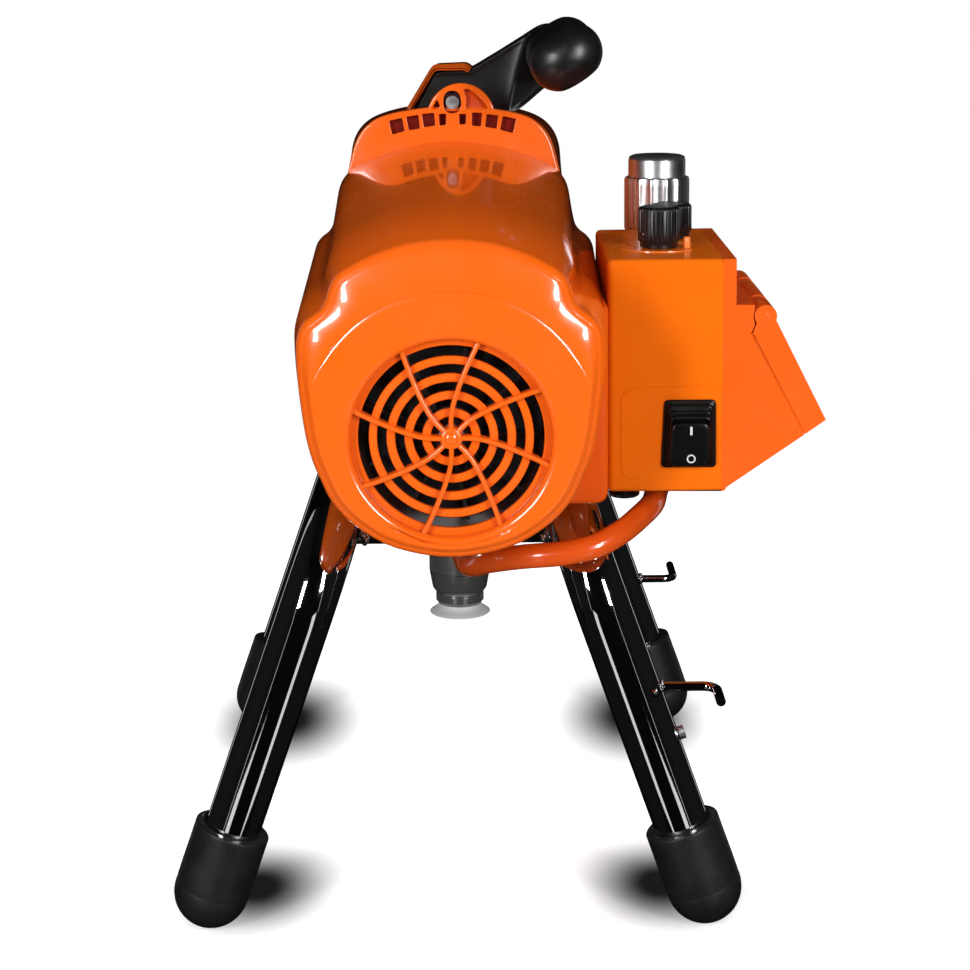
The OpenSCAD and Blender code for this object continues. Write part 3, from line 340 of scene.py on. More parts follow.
# %% Orange paint and moulded plastic
orange_gloss = finish("orange_gloss", (0.86, 0.124, 0.004), 0.24, coat=1.0, tone=(14, 0.03),
                      smudge=(45, 0.05), grain=(140, 0.003))
hose_orange = finish("hose_orange", (0.62, 0.072, 0.005), 0.20, coat=0.5, tone=(30, 0.05), grain=(350, 0.01))
box_orange = finish("box_orange", (0.77, 0.138, 0.003), 0.24, tone=(14, 0.04), smudge=(45, 0.05),
                    grain=(420, 0.015), specular=0.1)
cover_orange = finish("cover_orange", (0.80, 0.104, 0.004), 0.28, coat=0.15, tone=(14, 0.03),
                      smudge=(45, 0.05), grain=(420, 0.012), specular=0.35)
# Painted shade: a darker copy of the orange paint, for orange that sits in shade between parts.
shade_darkened_orange = finish("shade_darkened_orange", (0.74, 0.090, 0.003), 0.26, coat=0.4, tone=(14, 0.03),
                      smudge=(45, 0.05), grain=(140, 0.003), specular=0.35)
scale_orange = finish("scale_orange", (0.92, 0.20, 0.02), 0.28, coat=0.5, tone=(60, 0.05), grain=(600, 0.01))
# Painted shade: a near-black orange for the inside of the air slots.
slot_shade_orange = finish("slot_shade_orange", (0.20, 0.006, 0.001), 0.50, tone=(40, 0.10), specular=0.15)
# Painted shade: a darkened orange for the pocket behind the ear's large window.
window_shade_orange = finish("window_shade_orange", (0.62, 0.062, 0.002), 0.45, tone=(60, 0.12), specular=0.15)
# Painted shade: a near-black orange for the recess round the handle's bolt.
bolt_well_shade = finish("bolt_well_shade", (0.055, 0.004, 0.002), 0.40, tone=(60, 0.2))

# %% Black and grey plastic, rubber, glass and board
rubber = finish("rubber", (0.009, 0.009, 0.010), 0.44, tone=(60, 0.3), smudge=(70, 0.10), grain=(1500, 0.05))
black_satin = finish("black_satin", (0.012, 0.012, 0.013), 0.30, tone=(50, 0.2), smudge=(60, 0.06),
                     grain=(1300, 0.03))
black_gloss = finish("black_gloss", (0.008, 0.008, 0.009), 0.10, coat=0.5, tone=(60, 0.2), grain=(600, 0.01))
knob_black = finish("knob_black", (0.006, 0.006, 0.007), 0.34, tone=(60, 0.2), grain=(1600, 0.03))
handle_black = finish("handle_black", (0.006, 0.006, 0.0065), 0.38, tone=(50, 0.2), smudge=(45, 0.06),
                      grain=(1300, 0.02))
boot_black = finish("boot_black", (0.004, 0.004, 0.0045), 0.36, tone=(60, 0.3), smudge=(80, 0.08),
                    grain=(1200, 0.02), specular=0.3)
boot_gloss = finish("boot_gloss", (0.003, 0.003, 0.0035), 0.30, tone=(60, 0.3), smudge=(80, 0.05),
                    grain=(900, 0.01), specular=0.25)
inlay_grey = finish("inlay_grey", (0.035, 0.036, 0.038), 0.40, tone=(80, 0.15), smudge=(90, 0.08),
                    grain=(1500, 0.02))
mark_white = finish("mark_white", (0.60, 0.60, 0.60), 0.40, tone=(200, 0.04), grain=(1200, 0.01))
pale_nylon = finish("pale_nylon", (0.50, 0.505, 0.51), 0.42, tone=(60, 0.05), grain=(900, 0.03))
display_glass = finish("display_glass", (0.015, 0.02, 0.022), 0.06, coat=0.8, tone=(40, 0.2),
                       grain=(200, 0.002))
board_green = finish("board_green", (0.012, 0.10, 0.035), 0.35, coat=0.3, tone=(900, 0.5), grain=(700, 0.10))

# %% Metals
chrome = finish("chrome", (0.64, 0.65, 0.67), 0.045, metal=1.0, tone=(120, 0.05), smudge=(90, 0.03),
                grain=(500, 0.004))
weld_steel = finish("weld_steel", (0.55, 0.55, 0.56), 0.22, metal=1.0, tone=(300, 0.3), smudge=(400, 0.12),
                    grain=(900, 0.15))
cast_metal = finish("cast_metal", (0.36, 0.37, 0.38), 0.46, metal=0.35, tone=(90, 0.15),
                    smudge=(200, 0.10), grain=(1300, 0.10))
dark_steel = finish("dark_steel", (0.12, 0.125, 0.13), 0.42, metal=0.5, tone=(80, 0.25), grain=(900, 0.05))
# Painted shade: the bolt's steel is darkened for the shade of its deep recess.
bolt_recess_shade = finish("bolt_recess_shade", (0.10, 0.10, 0.105), 0.30, metal=0.7, tone=(300, 0.2))
plated_steel = finish("plated_steel", (0.62, 0.63, 0.64), 0.36, metal=1.0, tone=(200, 0.12),
                      smudge=(150, 0.08), grain=(1200, 0.02))
ground_steel = finish("ground_steel", (0.55, 0.56, 0.58), 0.26, metal=1.0, tone=(120, 0.1),
                      smudge=(200, 0.08), grain=(400, 0.02), stretch=(1, 12, 1))
turned_steel = finish("turned_steel", (0.30, 0.295, 0.29), 0.25, metal=0.86, tone=(60, 0.06),
                      smudge=(60, 0.02), grain=(160, 0.0015), stretch=(1, 1, 6))
bright_bowl = finish("bright_bowl", (0.60, 0.61, 0.63), 0.33, metal=1.0, tone=(60, 0.05),
                     smudge=(80, 0.03), grain=(160, 0.004), stretch=(1, 1, 8))
turned_brass = finish("turned_brass", (0.70, 0.50, 0.20), 0.26, metal=1.0, tone=(90, 0.15), grain=(500, 0.03))
copper_wire = finish("copper_wire", (0.62, 0.24, 0.10), 0.34, metal=1.0, tone=(500, 0.3), grain=(700, 0.12),
                     stretch=(1, 0.1, 1))
print(len(bpy.data.materials), "materials")

# %% [markdown]
# ## From a bmesh to a piece of the machine
#
# Each new piece is a bmesh that becomes an object at the origin, with its place in its mesh. It rides on a
# body of the frame, takes its material, and hides the CAD node that it stands for.
# A small bevel on every hard edge of a softened copy catches the light as a machined edge does. Weighted
# normals then keep the flat faces flat beside it.
# %% Finishing a piece
body_names = {node: body for body, nodes in frame["record"]["behaviour"]["bodies"].items() for node in nodes}


def outward(bm):
    """Merges doubled points and turns every face outward."""
    bmesh.ops.remove_doubles(bm, verts=bm.verts, dist=0.00002)
    bmesh.ops.recalc_face_normals(bm, faces=bm.faces)


def flatten(obj, keep_sharp=True):
    """Keeps flat faces flat beside rounded edges."""
    obj.modifiers.new("flat_faces", "WEIGHTED_NORMAL").keep_sharp = keep_sharp


def thicken(obj, thickness):
    """Gives a shell its wall, inward, in millimetres."""
    wall = obj.modifiers.new("wall", "SOLIDIFY")
    wall.thickness = thickness * MM
    wall.offset = -1


SHARP_EDGE = 32


def piece(name, bm, paint, node=None, body=None, sharp=SHARP_EDGE, merge=True):
    """Makes a bmesh an object of the machine. node is the CAD node it stands for, body where it rides."""
    if merge:
        outward(bm)
    bm.normal_update()
    mesh = mesh_from(name, bm, paint)
    mesh.shade_smooth()
    mesh.set_sharp_from_angle(angle=math.radians(sharp))
    obj = add_object(name, mesh)
    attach(obj, body or body_names[node])
    if node:
        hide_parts(node)
    print(name, "has", len(mesh.polygons), "faces")
    return obj


def soft_copy(node, paint, bevel, segments):
    """A copy of a CAD piece with its loose triangles merged into flat faces and its edges rounded."""
    bm = bmesh.new()
    bm.from_mesh(frame["nodes"][node].data)
    bmesh.ops.remove_doubles(bm, verts=bm.verts, dist=0.00001)
    bmesh.ops.dissolve_limit(bm, angle_limit=math.radians(1.0), verts=bm.verts, edges=bm.edges)
    obj = piece(node + "_look", bm, paint, node=node, merge=False)
    rounding = obj.modifiers.new("rounding", "BEVEL")
    rounding.width = bevel * MM
    rounding.segments = segments
    rounding.limit_method = "ANGLE"
    rounding.angle_limit = math.radians(SHARP_EDGE)
    flatten(obj, keep_sharp=False)


# %% Finishes of the CAD pieces that keep their own shape
for paint, nodes in (
        (plated_steel, "machine_screws motor_bearings crank_bearings inlet_ball block_fittings hinge_pin"),
        (black_satin, "cooling_fan prime_lever key_1 key_2 key_3"),
        (cast_metal, "motor_end_bells gear_case yoke_case block_bracket"),
        (dark_steel, "motor_can stator_core rotor_core"),
        (ground_steel, "rotor_shaft crank_shaft crank_gear crank_roller scotch_yoke"),
        (turned_brass, "piston rod_packing prime_valve control_pots"),
        (copper_wire, "stator_windings"), (chrome, "piston_rod"), (pale_nylon, "filter_element"),
        (display_glass, "display_panel"), (board_green, "control_board")):
    for node in nodes.split():
        kept = frame["nodes"][node].data.materials
        kept.clear()
        kept.append(paint)
    print(paint.name, "on", nodes)

# %% [markdown]
# ## Making tubes, turned parts and rings of points
#
# Most of this machine is bent tube, turned metal or moulded shells. Three helpers cover them. `sweep` sets a
# circle at each point of a path and bridges them, as a tube bender would leave them. `turn` spins a half
# outline round an axis, as a lathe does. `loft` bridges closed outlines of equal length, as a mould maker
# draws a shell through its sections.
# %% Sweep
X_AXIS, Y_AXIS, Z_AXIS = Vector((1, 0, 0)), Vector((0, 1, 0)), Vector((0, 0, 1))


def frame_on(point, direction, side):
    """A matrix at a point whose Z looks along direction and whose X stays near side."""
    z = direction.normalized()
    x = (side - side.dot(z) * z).normalized()
    turn_to = Matrix((x, z.cross(x), z)).transposed().to_4x4()
    return Matrix.Translation(point) @ turn_to


def sweep(bm, path, radii, sides, side):
    """A round bar through a path in metres, with a radius in millimetres for each of its points."""
    loops = []
    for i, (point, radius) in enumerate(zip(path, radii)):
        direction = path[min(i + 1, len(path) - 1)] - path[max(i - 1, 0)]
        made = bmesh.ops.create_circle(bm, cap_ends=False, radius=radius * MM, segments=sides,
                                       matrix=frame_on(point, direction, side))
        loops.append(list({edge for vert in made["verts"] for edge in vert.link_edges}))
    for first, second in zip(loops, loops[1:]):
        bmesh.ops.bridge_loops(bm, edges=first + second)
    bmesh.ops.edgeloop_fill(bm, edges=loops[0])
    bmesh.ops.edgeloop_fill(bm, edges=loops[-1])


# %% Turn


def turn(bm, outline, place, axis, steps=48, start=X_AXIS):
    """Spins an outline of (radius, along) pairs in millimetres round an axis through a point in metres."""
    base = frame_on(place, axis, start)
    verts = [bm.verts.new(base @ Vector((r * MM, 0, along * MM))) for r, along in outline]
    edges = [bm.edges.new(pair) for pair in zip(verts, verts[1:])]
    bmesh.ops.spin(bm, geom=verts + edges, cent=place, axis=axis.normalized(), dvec=(0, 0, 0),
                   angle=math.tau, steps=steps, use_merge=True)


def turned(outline, place, axis, steps=48, start=X_AXIS):
    """A new bmesh with one outline spun round an axis."""
    bm = bmesh.new()
    turn(bm, outline, place, axis, steps, start)
    return bm


def arc(centre, radius, start, end, steps):
    """Points on an arc in a plane, as (across, up) pairs. Angles are in degrees."""
    angles = [math.radians(start + (end - start) * k / steps) for k in range(steps + 1)]
    return [(centre[0] + radius * math.cos(a), centre[1] + radius * math.sin(a)) for a in angles]


# %% Loft


def loft(bm, sections, cap_first=False, cap_last=False):
    """Draws a closed outline through others of equal length, given as lists of points in metres."""
    verts = [bm.verts.new(p) for p in sections[0]]
    edges = first = [bm.edges.new((verts[i - 1], verts[i])) for i in range(len(verts))]
    for before, after in zip(sections, sections[1:]):
        goes_to = {tuple(Vector(p)): q for p, q in zip(before, after)}
        drawn = bmesh.ops.extrude_edge_only(bm, edges=edges)["geom"]
        edges = [part for part in drawn if isinstance(part, bmesh.types.BMEdge)]
        for vert in {v for edge in edges for v in edge.verts}:
            vert.co = goes_to[tuple(vert.co)]
    if cap_first:
        bmesh.ops.edgeloop_fill(bm, edges=first)
    if cap_last:
        bmesh.ops.edgeloop_fill(bm, edges=edges)
    return first, edges


def lofted(sections, cap_first=True, cap_last=True):
    """A new bmesh with one loft, closed at both ends unless told otherwise."""
    bm = bmesh.new()
    loft(bm, sections, cap_first, cap_last)
    return bm


# %% [markdown]
# ## The stand
#
# Each side of the stand is one chrome tube, bent over the top and leaning outward. Its path is written in
# the plane of the tube, as a distance along the machine and a distance down the leg, and then leaned out.
# A path with many points in the bends keeps the long reflections in the chrome smooth.
# %% The two bent tubes
BEND_R = 45
BOOT_R = 19
TUBE_END = 4
LEG_DROP = (RAIL_Z - BOOT_R + 0.8) / math.cos(LEG_LEAN)


def on_side(side, y, drop):
    """A point in the leaning plane of a side tube: y along the machine, drop down the leg."""
    return at(side * (RAIL_X + drop * math.sin(LEG_LEAN)), y, RAIL_Z - drop * math.cos(LEG_LEAN))


def tube_path(side):
    """The middle line of a side tube, from its rear end to its front end."""
    straight = LEG_DROP - TUBE_END - BEND_R
    rear = [(0, LEG_DROP - TUBE_END - straight * k / 6) for k in range(6)]
    first_bend = arc((BEND_R, BEND_R), BEND_R, 180, 270, 14)
    second_bend = arc((STAND_LEN - BEND_R, BEND_R), BEND_R, 270, 360, 14)
    front = [(STAND_LEN, BEND_R + straight * k / 6) for k in range(1, 7)]
    return [on_side(side, y, drop) for y, drop in rear + first_bend + second_bend + front]


for side, name in ((-1, "stand_left"), (1, "stand_right")):
    tube = bmesh.new()
    path = tube_path(side)
    sweep(tube, path, [TUBE_R] * len(path), 64, X_AXIS)
    piece(name + "_tube", tube, chrome, node=name)
print("tubes run", round(2 * LEG_DROP + STAND_LEN), "mm each")

# %% [markdown]
# ## Boots
#
# A rubber boot is dipped over each tube end. It is a plain cylinder with a domed foot, a soft lip at the top
# and a faint line where the mould closed. The foot is cut flat where it bears on the floor.
# %% Four boots


BOOT_HIGH, LIP_ROUND = 35, 0.7
boot_dome = arc((0, 0), BOOT_R, -90, 0, 16)
boot_seam = [(BOOT_R, 1.0), (BOOT_R - 0.12, 1.8), (BOOT_R - 0.12, 2.2), (BOOT_R, 3.0)]
boot_side = [(BOOT_R + 0.1, 12), (BOOT_R, 26), (BOOT_R, 32)]
boot_lip = arc((BOOT_R - LIP_ROUND, BOOT_HIGH - LIP_ROUND), LIP_ROUND, 0, 90, 5)
boot_mouth = [(TUBE_R + 0.6, BOOT_HIGH), (TUBE_R + 0.05, BOOT_HIGH - 0.4), (TUBE_R + 0.05, 26)]
boots = bmesh.new()
for side in (-1, 1):
    for y in (0, STAND_LEN):
        foot = on_side(side, y, LEG_DROP)
        outline = boot_dome + boot_seam + boot_side + boot_lip + boot_mouth
        turn(boots, outline, foot, on_side(side, y, 0) - foot)
outward(boots)
bmesh.ops.bisect_plane(boots, geom=boots.verts[:] + boots.edges[:] + boots.faces[:], dist=0.00001,
                       plane_co=(0, 0, 0), plane_no=(0, 0, -1), clear_outer=True)
rims = [edge for edge in boots.edges if edge.is_boundary and max(v.co.z for v in edge.verts) < 0.0002]
bmesh.ops.holes_fill(boots, edges=rims, sides=0)
piece("rubber_boots_look", boots, rubber, node="rubber_boots", sharp=50)

# %% [markdown]
# ## Hooks and welds
#
# Two wire hooks are welded to the right legs for the hose and the pail. A weld is a row of small puddles
# that cooled one after another, so each bead is a short chain of squashed balls.
# %% Hooks
HOOK_R = 2.4


def hook_path(y, drop, reach, tip, way):
    """The middle line of a hook that leaves the leg sideways and turns along the machine, way 1 or -1."""
    start = RAIL_X + drop * math.tan(LEG_LEAN) + (TUBE_R - 1) / math.cos(LEG_LEAN)
    end = start + reach
    z = RAIL_Z - drop
    bend = 7
    corner = arc((end - bend, y + way * bend), bend, -90 * way, 0, 8)
    straight = [(start, y), (start + (end - start) * 0.4, y), (end - bend - 2, y)]
    last = [(end, y + way * tip * 0.6), (end, y + way * (tip + HOOK_R))]
    return [at(px, py, z) for px, py in straight + corner + last]


hooks = bmesh.new()
rear_hook = hook_path(0, 80, 28, 22, -1)
front_hook = hook_path(STAND_LEN, 111, 22, 30, 1)
for path in (rear_hook, front_hook):
    before_tip = path[-1] - (path[-1] - path[-2]).normalized() * 0.4 * MM
    sweep(hooks, path[:-1] + [before_tip, path[-1]], [HOOK_R] * len(path) + [HOOK_R * 0.8], 24, Z_AXIS)
piece("rod_hooks_look", hooks, chrome, node="rod_hooks")

# %% Weld beads and cross members


def weld(bm, centre, axis, radius, start, end, puddle=1.7):
    """A chain of puddles round an axis. centre and radius in millimetres, start and end in degrees."""
    base = frame_on(at(*centre), axis, Z_AXIS if abs(axis.z) < 0.9 else Y_AXIS)
    count = max(3, round(abs(math.radians(end - start)) * radius / (puddle * 0.8)))
    for k in range(count + 1):
        a = math.radians(start + (end - start) * k / count)
        wobble = 1 + 0.18 * math.sin(5.1 * k) + 0.1 * math.sin(2.3 * k + 1)
        spot = base @ Vector((radius * MM * math.cos(a), radius * MM * math.sin(a), 0))
        made = bmesh.ops.create_icosphere(bm, subdivisions=2, radius=puddle * wobble * MM)
        squash = Matrix.Diagonal((1, 0.72, 1, 1))
        place = Matrix.Translation(spot) @ Matrix.Rotation(a, 4, axis.normalized()) @ squash
        bmesh.ops.transform(bm, matrix=place, verts=made["verts"])


soft_copy("cross_members", chrome, bevel=0.5, segments=2)
CROSS_WELDS = (50, 54, 86, 175, 179, 211)
welds = bmesh.new()
for y in CROSS_WELDS:
    for side, low, high in ((-1, 98, 160), (1, 200, 262)):
        weld(welds, (side * RAIL_X, y, RAIL_Z), Y_AXIS, TUBE_R + 0.6, low, high)
for side in (-1, 1):
    for k in range(22):
        drift = 1.6 * math.sin(2.7 * k)
        spot = at(side * (46.5 + 0.34 * k + drift), 48.6 - 0.5 * math.cos(3.1 * k), 185 + 0.72 * k)
        bmesh.ops.create_icosphere(welds, subdivisions=2, radius=(1.5 + 0.5 * math.sin(4.3 * k)) * MM,
                                   matrix=Matrix.Translation(spot))
for path in (rear_hook, front_hook):
    weld(welds, (path[0] - at(0, 0, 0)) / MM + X_AXIS, X_AXIS, HOOK_R + 0.4, 0, 330, 1.0)
piece("weld_beads", welds, weld_steel, body="machine", merge=False)

# %% [markdown]
# ## The motor shroud
#
# The shroud is one glossy moulding, open at the drive end. Its section is a low arch on wide shoulders, with
# a hollow curve between them, and it narrows to a round keel. The section is drawn twice, small at the motor
# end and taller at the drive end, and the shell is a loft between the two. Only half of each is drawn: the
# other half is its mirror image.
# %% Two sections and the curve through them
REAR_Y, DRIVE_Y = -50, 150
REAR_SECTION = [(0, 354), (20, 352), (36, 346.8), (46, 341.8), (51, 338.6), (54.2, 335), (56.1, 330.6),
                (57.4, 326.4), (59.7, 322.4), (63.6, 319.2), (67.6, 316.2), (70.3, 311.8), (71.6, 306),
                (71.8, 299), (71.3, 288), (70, 275), (68, 261), (65.2, 250), (61.4, 240.6), (56.6, 230.5),
                (46.8, 219.5), (32, 209.8), (16, 204.8), (0, 203)]
DRIVE_SECTION = [(0, 380), (20, 378), (37.4, 373), (48.6, 368.4), (54.6, 365), (58.2, 361), (60.4, 355.5),
                 (62, 346), (64, 336.6), (67, 332), (70.8, 329), (73.4, 325), (74.5, 319),
                 (74.5, 312), (74, 298), (72.5, 283), (70, 267), (67, 253), (62.4, 241), (57.2, 230.5),
                 (47, 219.5), (32, 209.8), (16, 204.8), (0, 203)]


def curve_through(points, steps, closed=True):
    """A smooth curve through points of any dimension, with steps parts between two of them."""
    count = len(points)
    spans = count if closed else count - 1
    made = []
    for i in range(spans):
        if closed:
            a, b, c, d = (Vector(points[(i + k) % count]) for k in (-1, 0, 1, 2))
        else:
            a, b, c, d = (Vector(points[min(max(i + k, 0), count - 1)]) for k in (-1, 0, 1, 2))
        for k in range(steps):
            t = k / steps
            made.append(0.5 * (2 * b + (c - a) * t + (2 * a - 5 * b + 4 * c - d) * t * t
                               + (3 * b - a - 3 * c + d) * t ** 3))
    if not closed:
        made.append(Vector(points[-1]))
    return made


def whole_section(half):
    """Both halves of a section, as one closed loop that starts at the crown."""
    other = [(-x, z) for x, z in half[-2:0:-1]]
    return curve_through(half + other, 3)


# %% The shroud at any depth


def inset(outline, depth):
    """The outline moved inward by depth. The outline runs clockwise."""
    moved = []
    for i, p in enumerate(outline):
        along = (outline[(i + 1) % len(outline)] - outline[i - 1]).normalized()
        moved.append(p + depth * Vector((along.y, -along.x)))
    return moved


rear_outline, drive_outline = whole_section(REAR_SECTION), whole_section(DRIVE_SECTION)


def section_at(y, depth=0.0):
    """The shroud's outline at y, inset by depth, as points in the scene."""
    t = (y - REAR_Y) / (DRIVE_Y - REAR_Y)
    outline = [a.lerp(b, t) for a, b in zip(rear_outline, drive_outline)]
    return across(inset(outline, depth), y)


# %% [markdown]
# ## The shroud's face
#
# The face has a recess for the grille and a faint raised disc round it, which fades out on both sides. Each
# point of the outline gets partners on smaller loops at the same angle from the motor's axis, so the face
# is one even fan of quads and the step of the disc can grow and fade with the angle.
# %% A loop on the face
RIM_R, SHROUD_WALL = 5.5, 2.2
DISC_R = 69.0
RECESS_R = 49.3
DISC_STEP = 0.8
DISC_FADES, DISC_FULL = 17, 37


def face_loop(radius, inside_rim, back, step, outside_recess):
    """A loop on the face, back millimetres behind its front.

    It keeps its radius where it can, and stays at least inside_rim from the rim and outside_recess from the
    recess. step is the share of the disc's height, which fades out lower down.
    """
    points = []
    for p in inset(rear_outline, RIM_R):
        arm = Vector((p.x, p.y - MOTOR_Z))
        angle = math.degrees(math.atan2(arm.y, abs(arm.x)))
        rise = min(1, max(0, (angle - DISC_FADES) / (DISC_FULL - DISC_FADES)))
        arm = arm.normalized() * max(min(radius, arm.length - inside_rim), RECESS_R + outside_recess)
        out = DISC_STEP * step * rise * rise * (3 - 2 * rise)
        points.append(at(arm.x, REAR_Y + back - out, MOTOR_Z + arm.y))
    return points


# %% The shell, its rounded rim and its face
rim = [section_at(REAR_Y + RIM_R * (1 - math.cos(math.radians(a))), RIM_R * (1 - math.sin(math.radians(a))))
       for a in range(0, 91, 15)]
barrel = [section_at(y) for y in (-20, 20, 60, 100, 130, DRIVE_Y)]
# Out from the recess: radius, inside the rim, back, share of the disc's height, outside the recess.
FACE = [(RECESS_R, 0, 5, 0, 0), (RECESS_R, 0, 0.8, 1, 0), (RECESS_R + 0.12, 0, 0.4, 1, 0.12),
        (RECESS_R + 0.4, 0, 0.1, 1, 0.4), (RECESS_R + 0.8, 0, 0, 1, 0.8), (RECESS_R + 1.3, 0, 0, 1, 1.0),
        (58, 4.4, 0, 1, 1.2), (DISC_R - 1.4, 3.6, 0, 1, 1.4), (DISC_R - 0.7, 2.9, 0, 1, 1.6),
        (DISC_R - 0.3, 2.5, 0, 0.84, 1.8), (DISC_R + 0.3, 1.9, 0, 0.16, 2.0), (DISC_R + 0.7, 1.5, 0, 0, 2.2),
        (DISC_R + 2.5, 1.1, 0, 0, 2.4), (200, 0.5, 0, 0, 2.6)]
face = [face_loop(*measures) for measures in FACE]
shroud = lofted(face + rim[::-1] + barrel, False, False)
shell = piece("motor_shroud_look", shroud, orange_gloss, node="motor_shroud", sharp=60)
thicken(shell, SHROUD_WALL)
flatten(shell)
print("shroud loops:", len(face + rim + barrel), "of", len(rear_outline), "points")

# %% [markdown]
# ## The grille
#
# The grille is made of flat rings held by eight ribs that sweep round like the blades of the fan behind
# them. Rings are turned. Each rib is a thin bar along a slow spiral, with a rounded top.
# %% Rings and hub
RING_Y = REAR_Y + 4.2
RING_DEPTH = 2.8
HUB_R = 5.2


def ring_outline(inner, outer):
    """The half section of a flat ring with chamfered front edges, as (radius, along) pairs."""
    chamfer = 0.5
    front = [(inner, chamfer), (inner + chamfer, 0), (outer - chamfer, 0), (outer, chamfer)]
    return front + [(outer, RING_DEPTH), (inner, RING_DEPTH), (inner, chamfer)]


grille = bmesh.new()
for inner, outer in ((43.7, RECESS_R - 0.05), (34.8, 38.6), (26.3, 30.3), (18.0, 21.9), (9.7, 13.7)):
    turn(grille, ring_outline(inner, outer), at(0, RING_Y, MOTOR_Z), Y_AXIS, steps=96)
hub = [(0, -5.4), (1.8, -5.3), (2.5, -4.9), (2.7, -4.3), (4.2, -4.2), (4.9, -3.8), (HUB_R, -3.0),
       (HUB_R + 0.4, RING_DEPTH), (0, RING_DEPTH)]
turn(grille, hub, at(0, RING_Y, MOTOR_Z), Y_AXIS, steps=40)

# %% Spiral ribs
RIB_SWEEP = curve_through([(0, 0), (8, 0), (14, 2.6), (21, 7.2), (33, 12.4), (50.2, 17.2)], 6, closed=False)


def spiral(k, step):
    """Point number step of rib k, which leaves the hub square and then bends clockwise."""
    r, bend = RIB_SWEEP[step]
    a = math.radians(45 * k - bend)
    return Vector((r * math.cos(a), r * math.sin(a)))


def rib_section(k, step):
    """The cross section of rib k: a bar with a rounded top."""
    here = spiral(k, step)
    ahead = spiral(k, min(step + 1, len(RIB_SWEEP) - 1)) - spiral(k, step - 1)
    across = Vector((-ahead.y, ahead.x)).normalized()
    half = 1.15
    profile = [(-half, 2.6), (-half, -2.9), (-half * 0.8, -3.5), (-half * 0.4, -3.8), (half * 0.4, -3.8),
               (half * 0.8, -3.5), (half, -2.9), (half, 2.6)]
    return [at(here.x + side * across.x, RING_Y + y, MOTOR_Z + here.y + side * across.y)
            for side, y in profile]


for k in range(8):
    loft(grille, [rib_section(k, step) for step in range(3, len(RIB_SWEEP))], cap_first=True, cap_last=True)
bmesh.ops.recalc_face_normals(grille, faces=grille.faces)
piece("fan_grille_look", grille, orange_gloss, node="fan_grille", sharp=40, merge=False)

# %% [markdown]
# ## Plates with rounded edges and holes
#
# Moulded walls here are flat, with a rounded edge outside and softer edges round their holes. The rounding is
# a few copies of the outline, each moved in and forward a little. The flat middle is then filled between
# the innermost outline and the holes, so it stays perfectly flat and shades as one face.
# %% A moulded wall across the machine
CORNER_STEPS, HOLE_RIM = 5, 0.3


def rounded(points, radius):
    """The outline with each corner rounded by a short curve, as 2D points. It keeps its direction."""
    made = []
    for i, point in enumerate(points):
        here, before, after = Vector(point), Vector(points[i - 1]), Vector(points[(i + 1) % len(points)])
        room = min(radius, (before - here).length * 0.49, (after - here).length * 0.49)
        start = here + (before - here).normalized() * room
        end = here + (after - here).normalized() * room
        for k in range(CORNER_STEPS + 1):
            t = k / CORNER_STEPS
            made.append((1 - t) ** 2 * start + 2 * t * (1 - t) * here + t * t * end)
    return made


def edge_sections(outline, front, rim, way):
    """Outlines that climb a rounded edge, from the flat face to the side. way is -1 for a hole."""
    made = []
    for k in (3, 2, 1, 0):
        a = math.radians(30 * k)
        inward, back = rim * (1 - math.cos(a)), rim * (1 - math.sin(a))
        made.append(across(inset(outline, way * inward), front + back))
    return made


def wall_plate(bm, outline, front, back, rim, holes=(), hole_back=None):
    """A wall that faces the motor end, from clockwise outlines in millimetres, with or without holes.

    The back of a wall without holes is closed too.
    """
    flat, ends = [], []
    shapes = [(outline, rim, 1, back)] + [(hole, HOLE_RIM, -1, hole_back) for hole in holes]
    for shape, r, way, deep in shapes:
        shape = [Vector(p) for p in shape]
        first, last = loft(bm, edge_sections(shape, front, r, way) + [across(shape, deep)])
        flat += first
        ends += last
    for edges in (flat,) if holes else (flat, ends):
        bmesh.ops.triangle_fill(bm, use_beauty=True, use_dissolve=False, edges=edges)


# %% The cheek beside the shroud
cheek = bmesh.new()
cheek_low, cheek_high = node_mm("side_cheek")
CHEEK = [(60, cheek_high.z), (cheek_high.x - 0.4, cheek_high.z + 14), (cheek_high.x - 0.4, cheek_low.z),
         (51, cheek_low.z)]
wall_plate(cheek, rounded(CHEEK, 7), cheek_low.y, cheek_high.y, rim=3.0)
# The cheek wears the darker orange as painted shade between the shroud and the box.
piece("side_cheek_look", cheek, shade_darkened_orange, node="side_cheek", sharp=50)
print("cheek and shroud:", round(cheek_high.y - cheek_low.y), "mm along the motor")

# %% [markdown]
# ## The upper housing
#
# The upper housing covers the gears. Its motor-side wall stands up from the shroud, with a row of air slots
# and a round ear that holds the handle's bolt. The wall is one plate with holes. Behind it the body is a
# loft that widens a little towards the front cover, as moulded shells do so that they leave their mould.
# %% The outline of the wall with its ear
house_low, house_high = node_mm("upper_housing")
WALL_Y, COVER_Y, HOUSE_FOOT, HOUSE_WALL = house_low.y, house_high.y, house_low.z, 2.4
WALL_HALF = [(16, 400.3), (30, 398.2), (40.6, 395.2), (46.2, 391.4), (50.4, 386.6), (53.5, 380.4),
             (55.9, 372), (58.4, 362), (60.6, 350), (61, 300)]
EAR_X, EAR_Z, EAR_R = 4.5, 395.1, 18.5
ear_arc = arc((EAR_X, EAR_Z), EAR_R, 163, 14, 24)
right_side = curve_through(WALL_HALF[:8], 3, closed=False) + [Vector(p) for p in WALL_HALF[8:]]
left_side = [Vector((-p.x, p.y)) for p in reversed(right_side)]
body_top = [Vector(p) for p in ((-8, 400.8), (0, 401.0), (8, 400.8))]
wall_outline = left_side + [Vector(p) for p in ear_arc] + [p for p in right_side if p.x > EAR_X + EAR_R - 0.1]


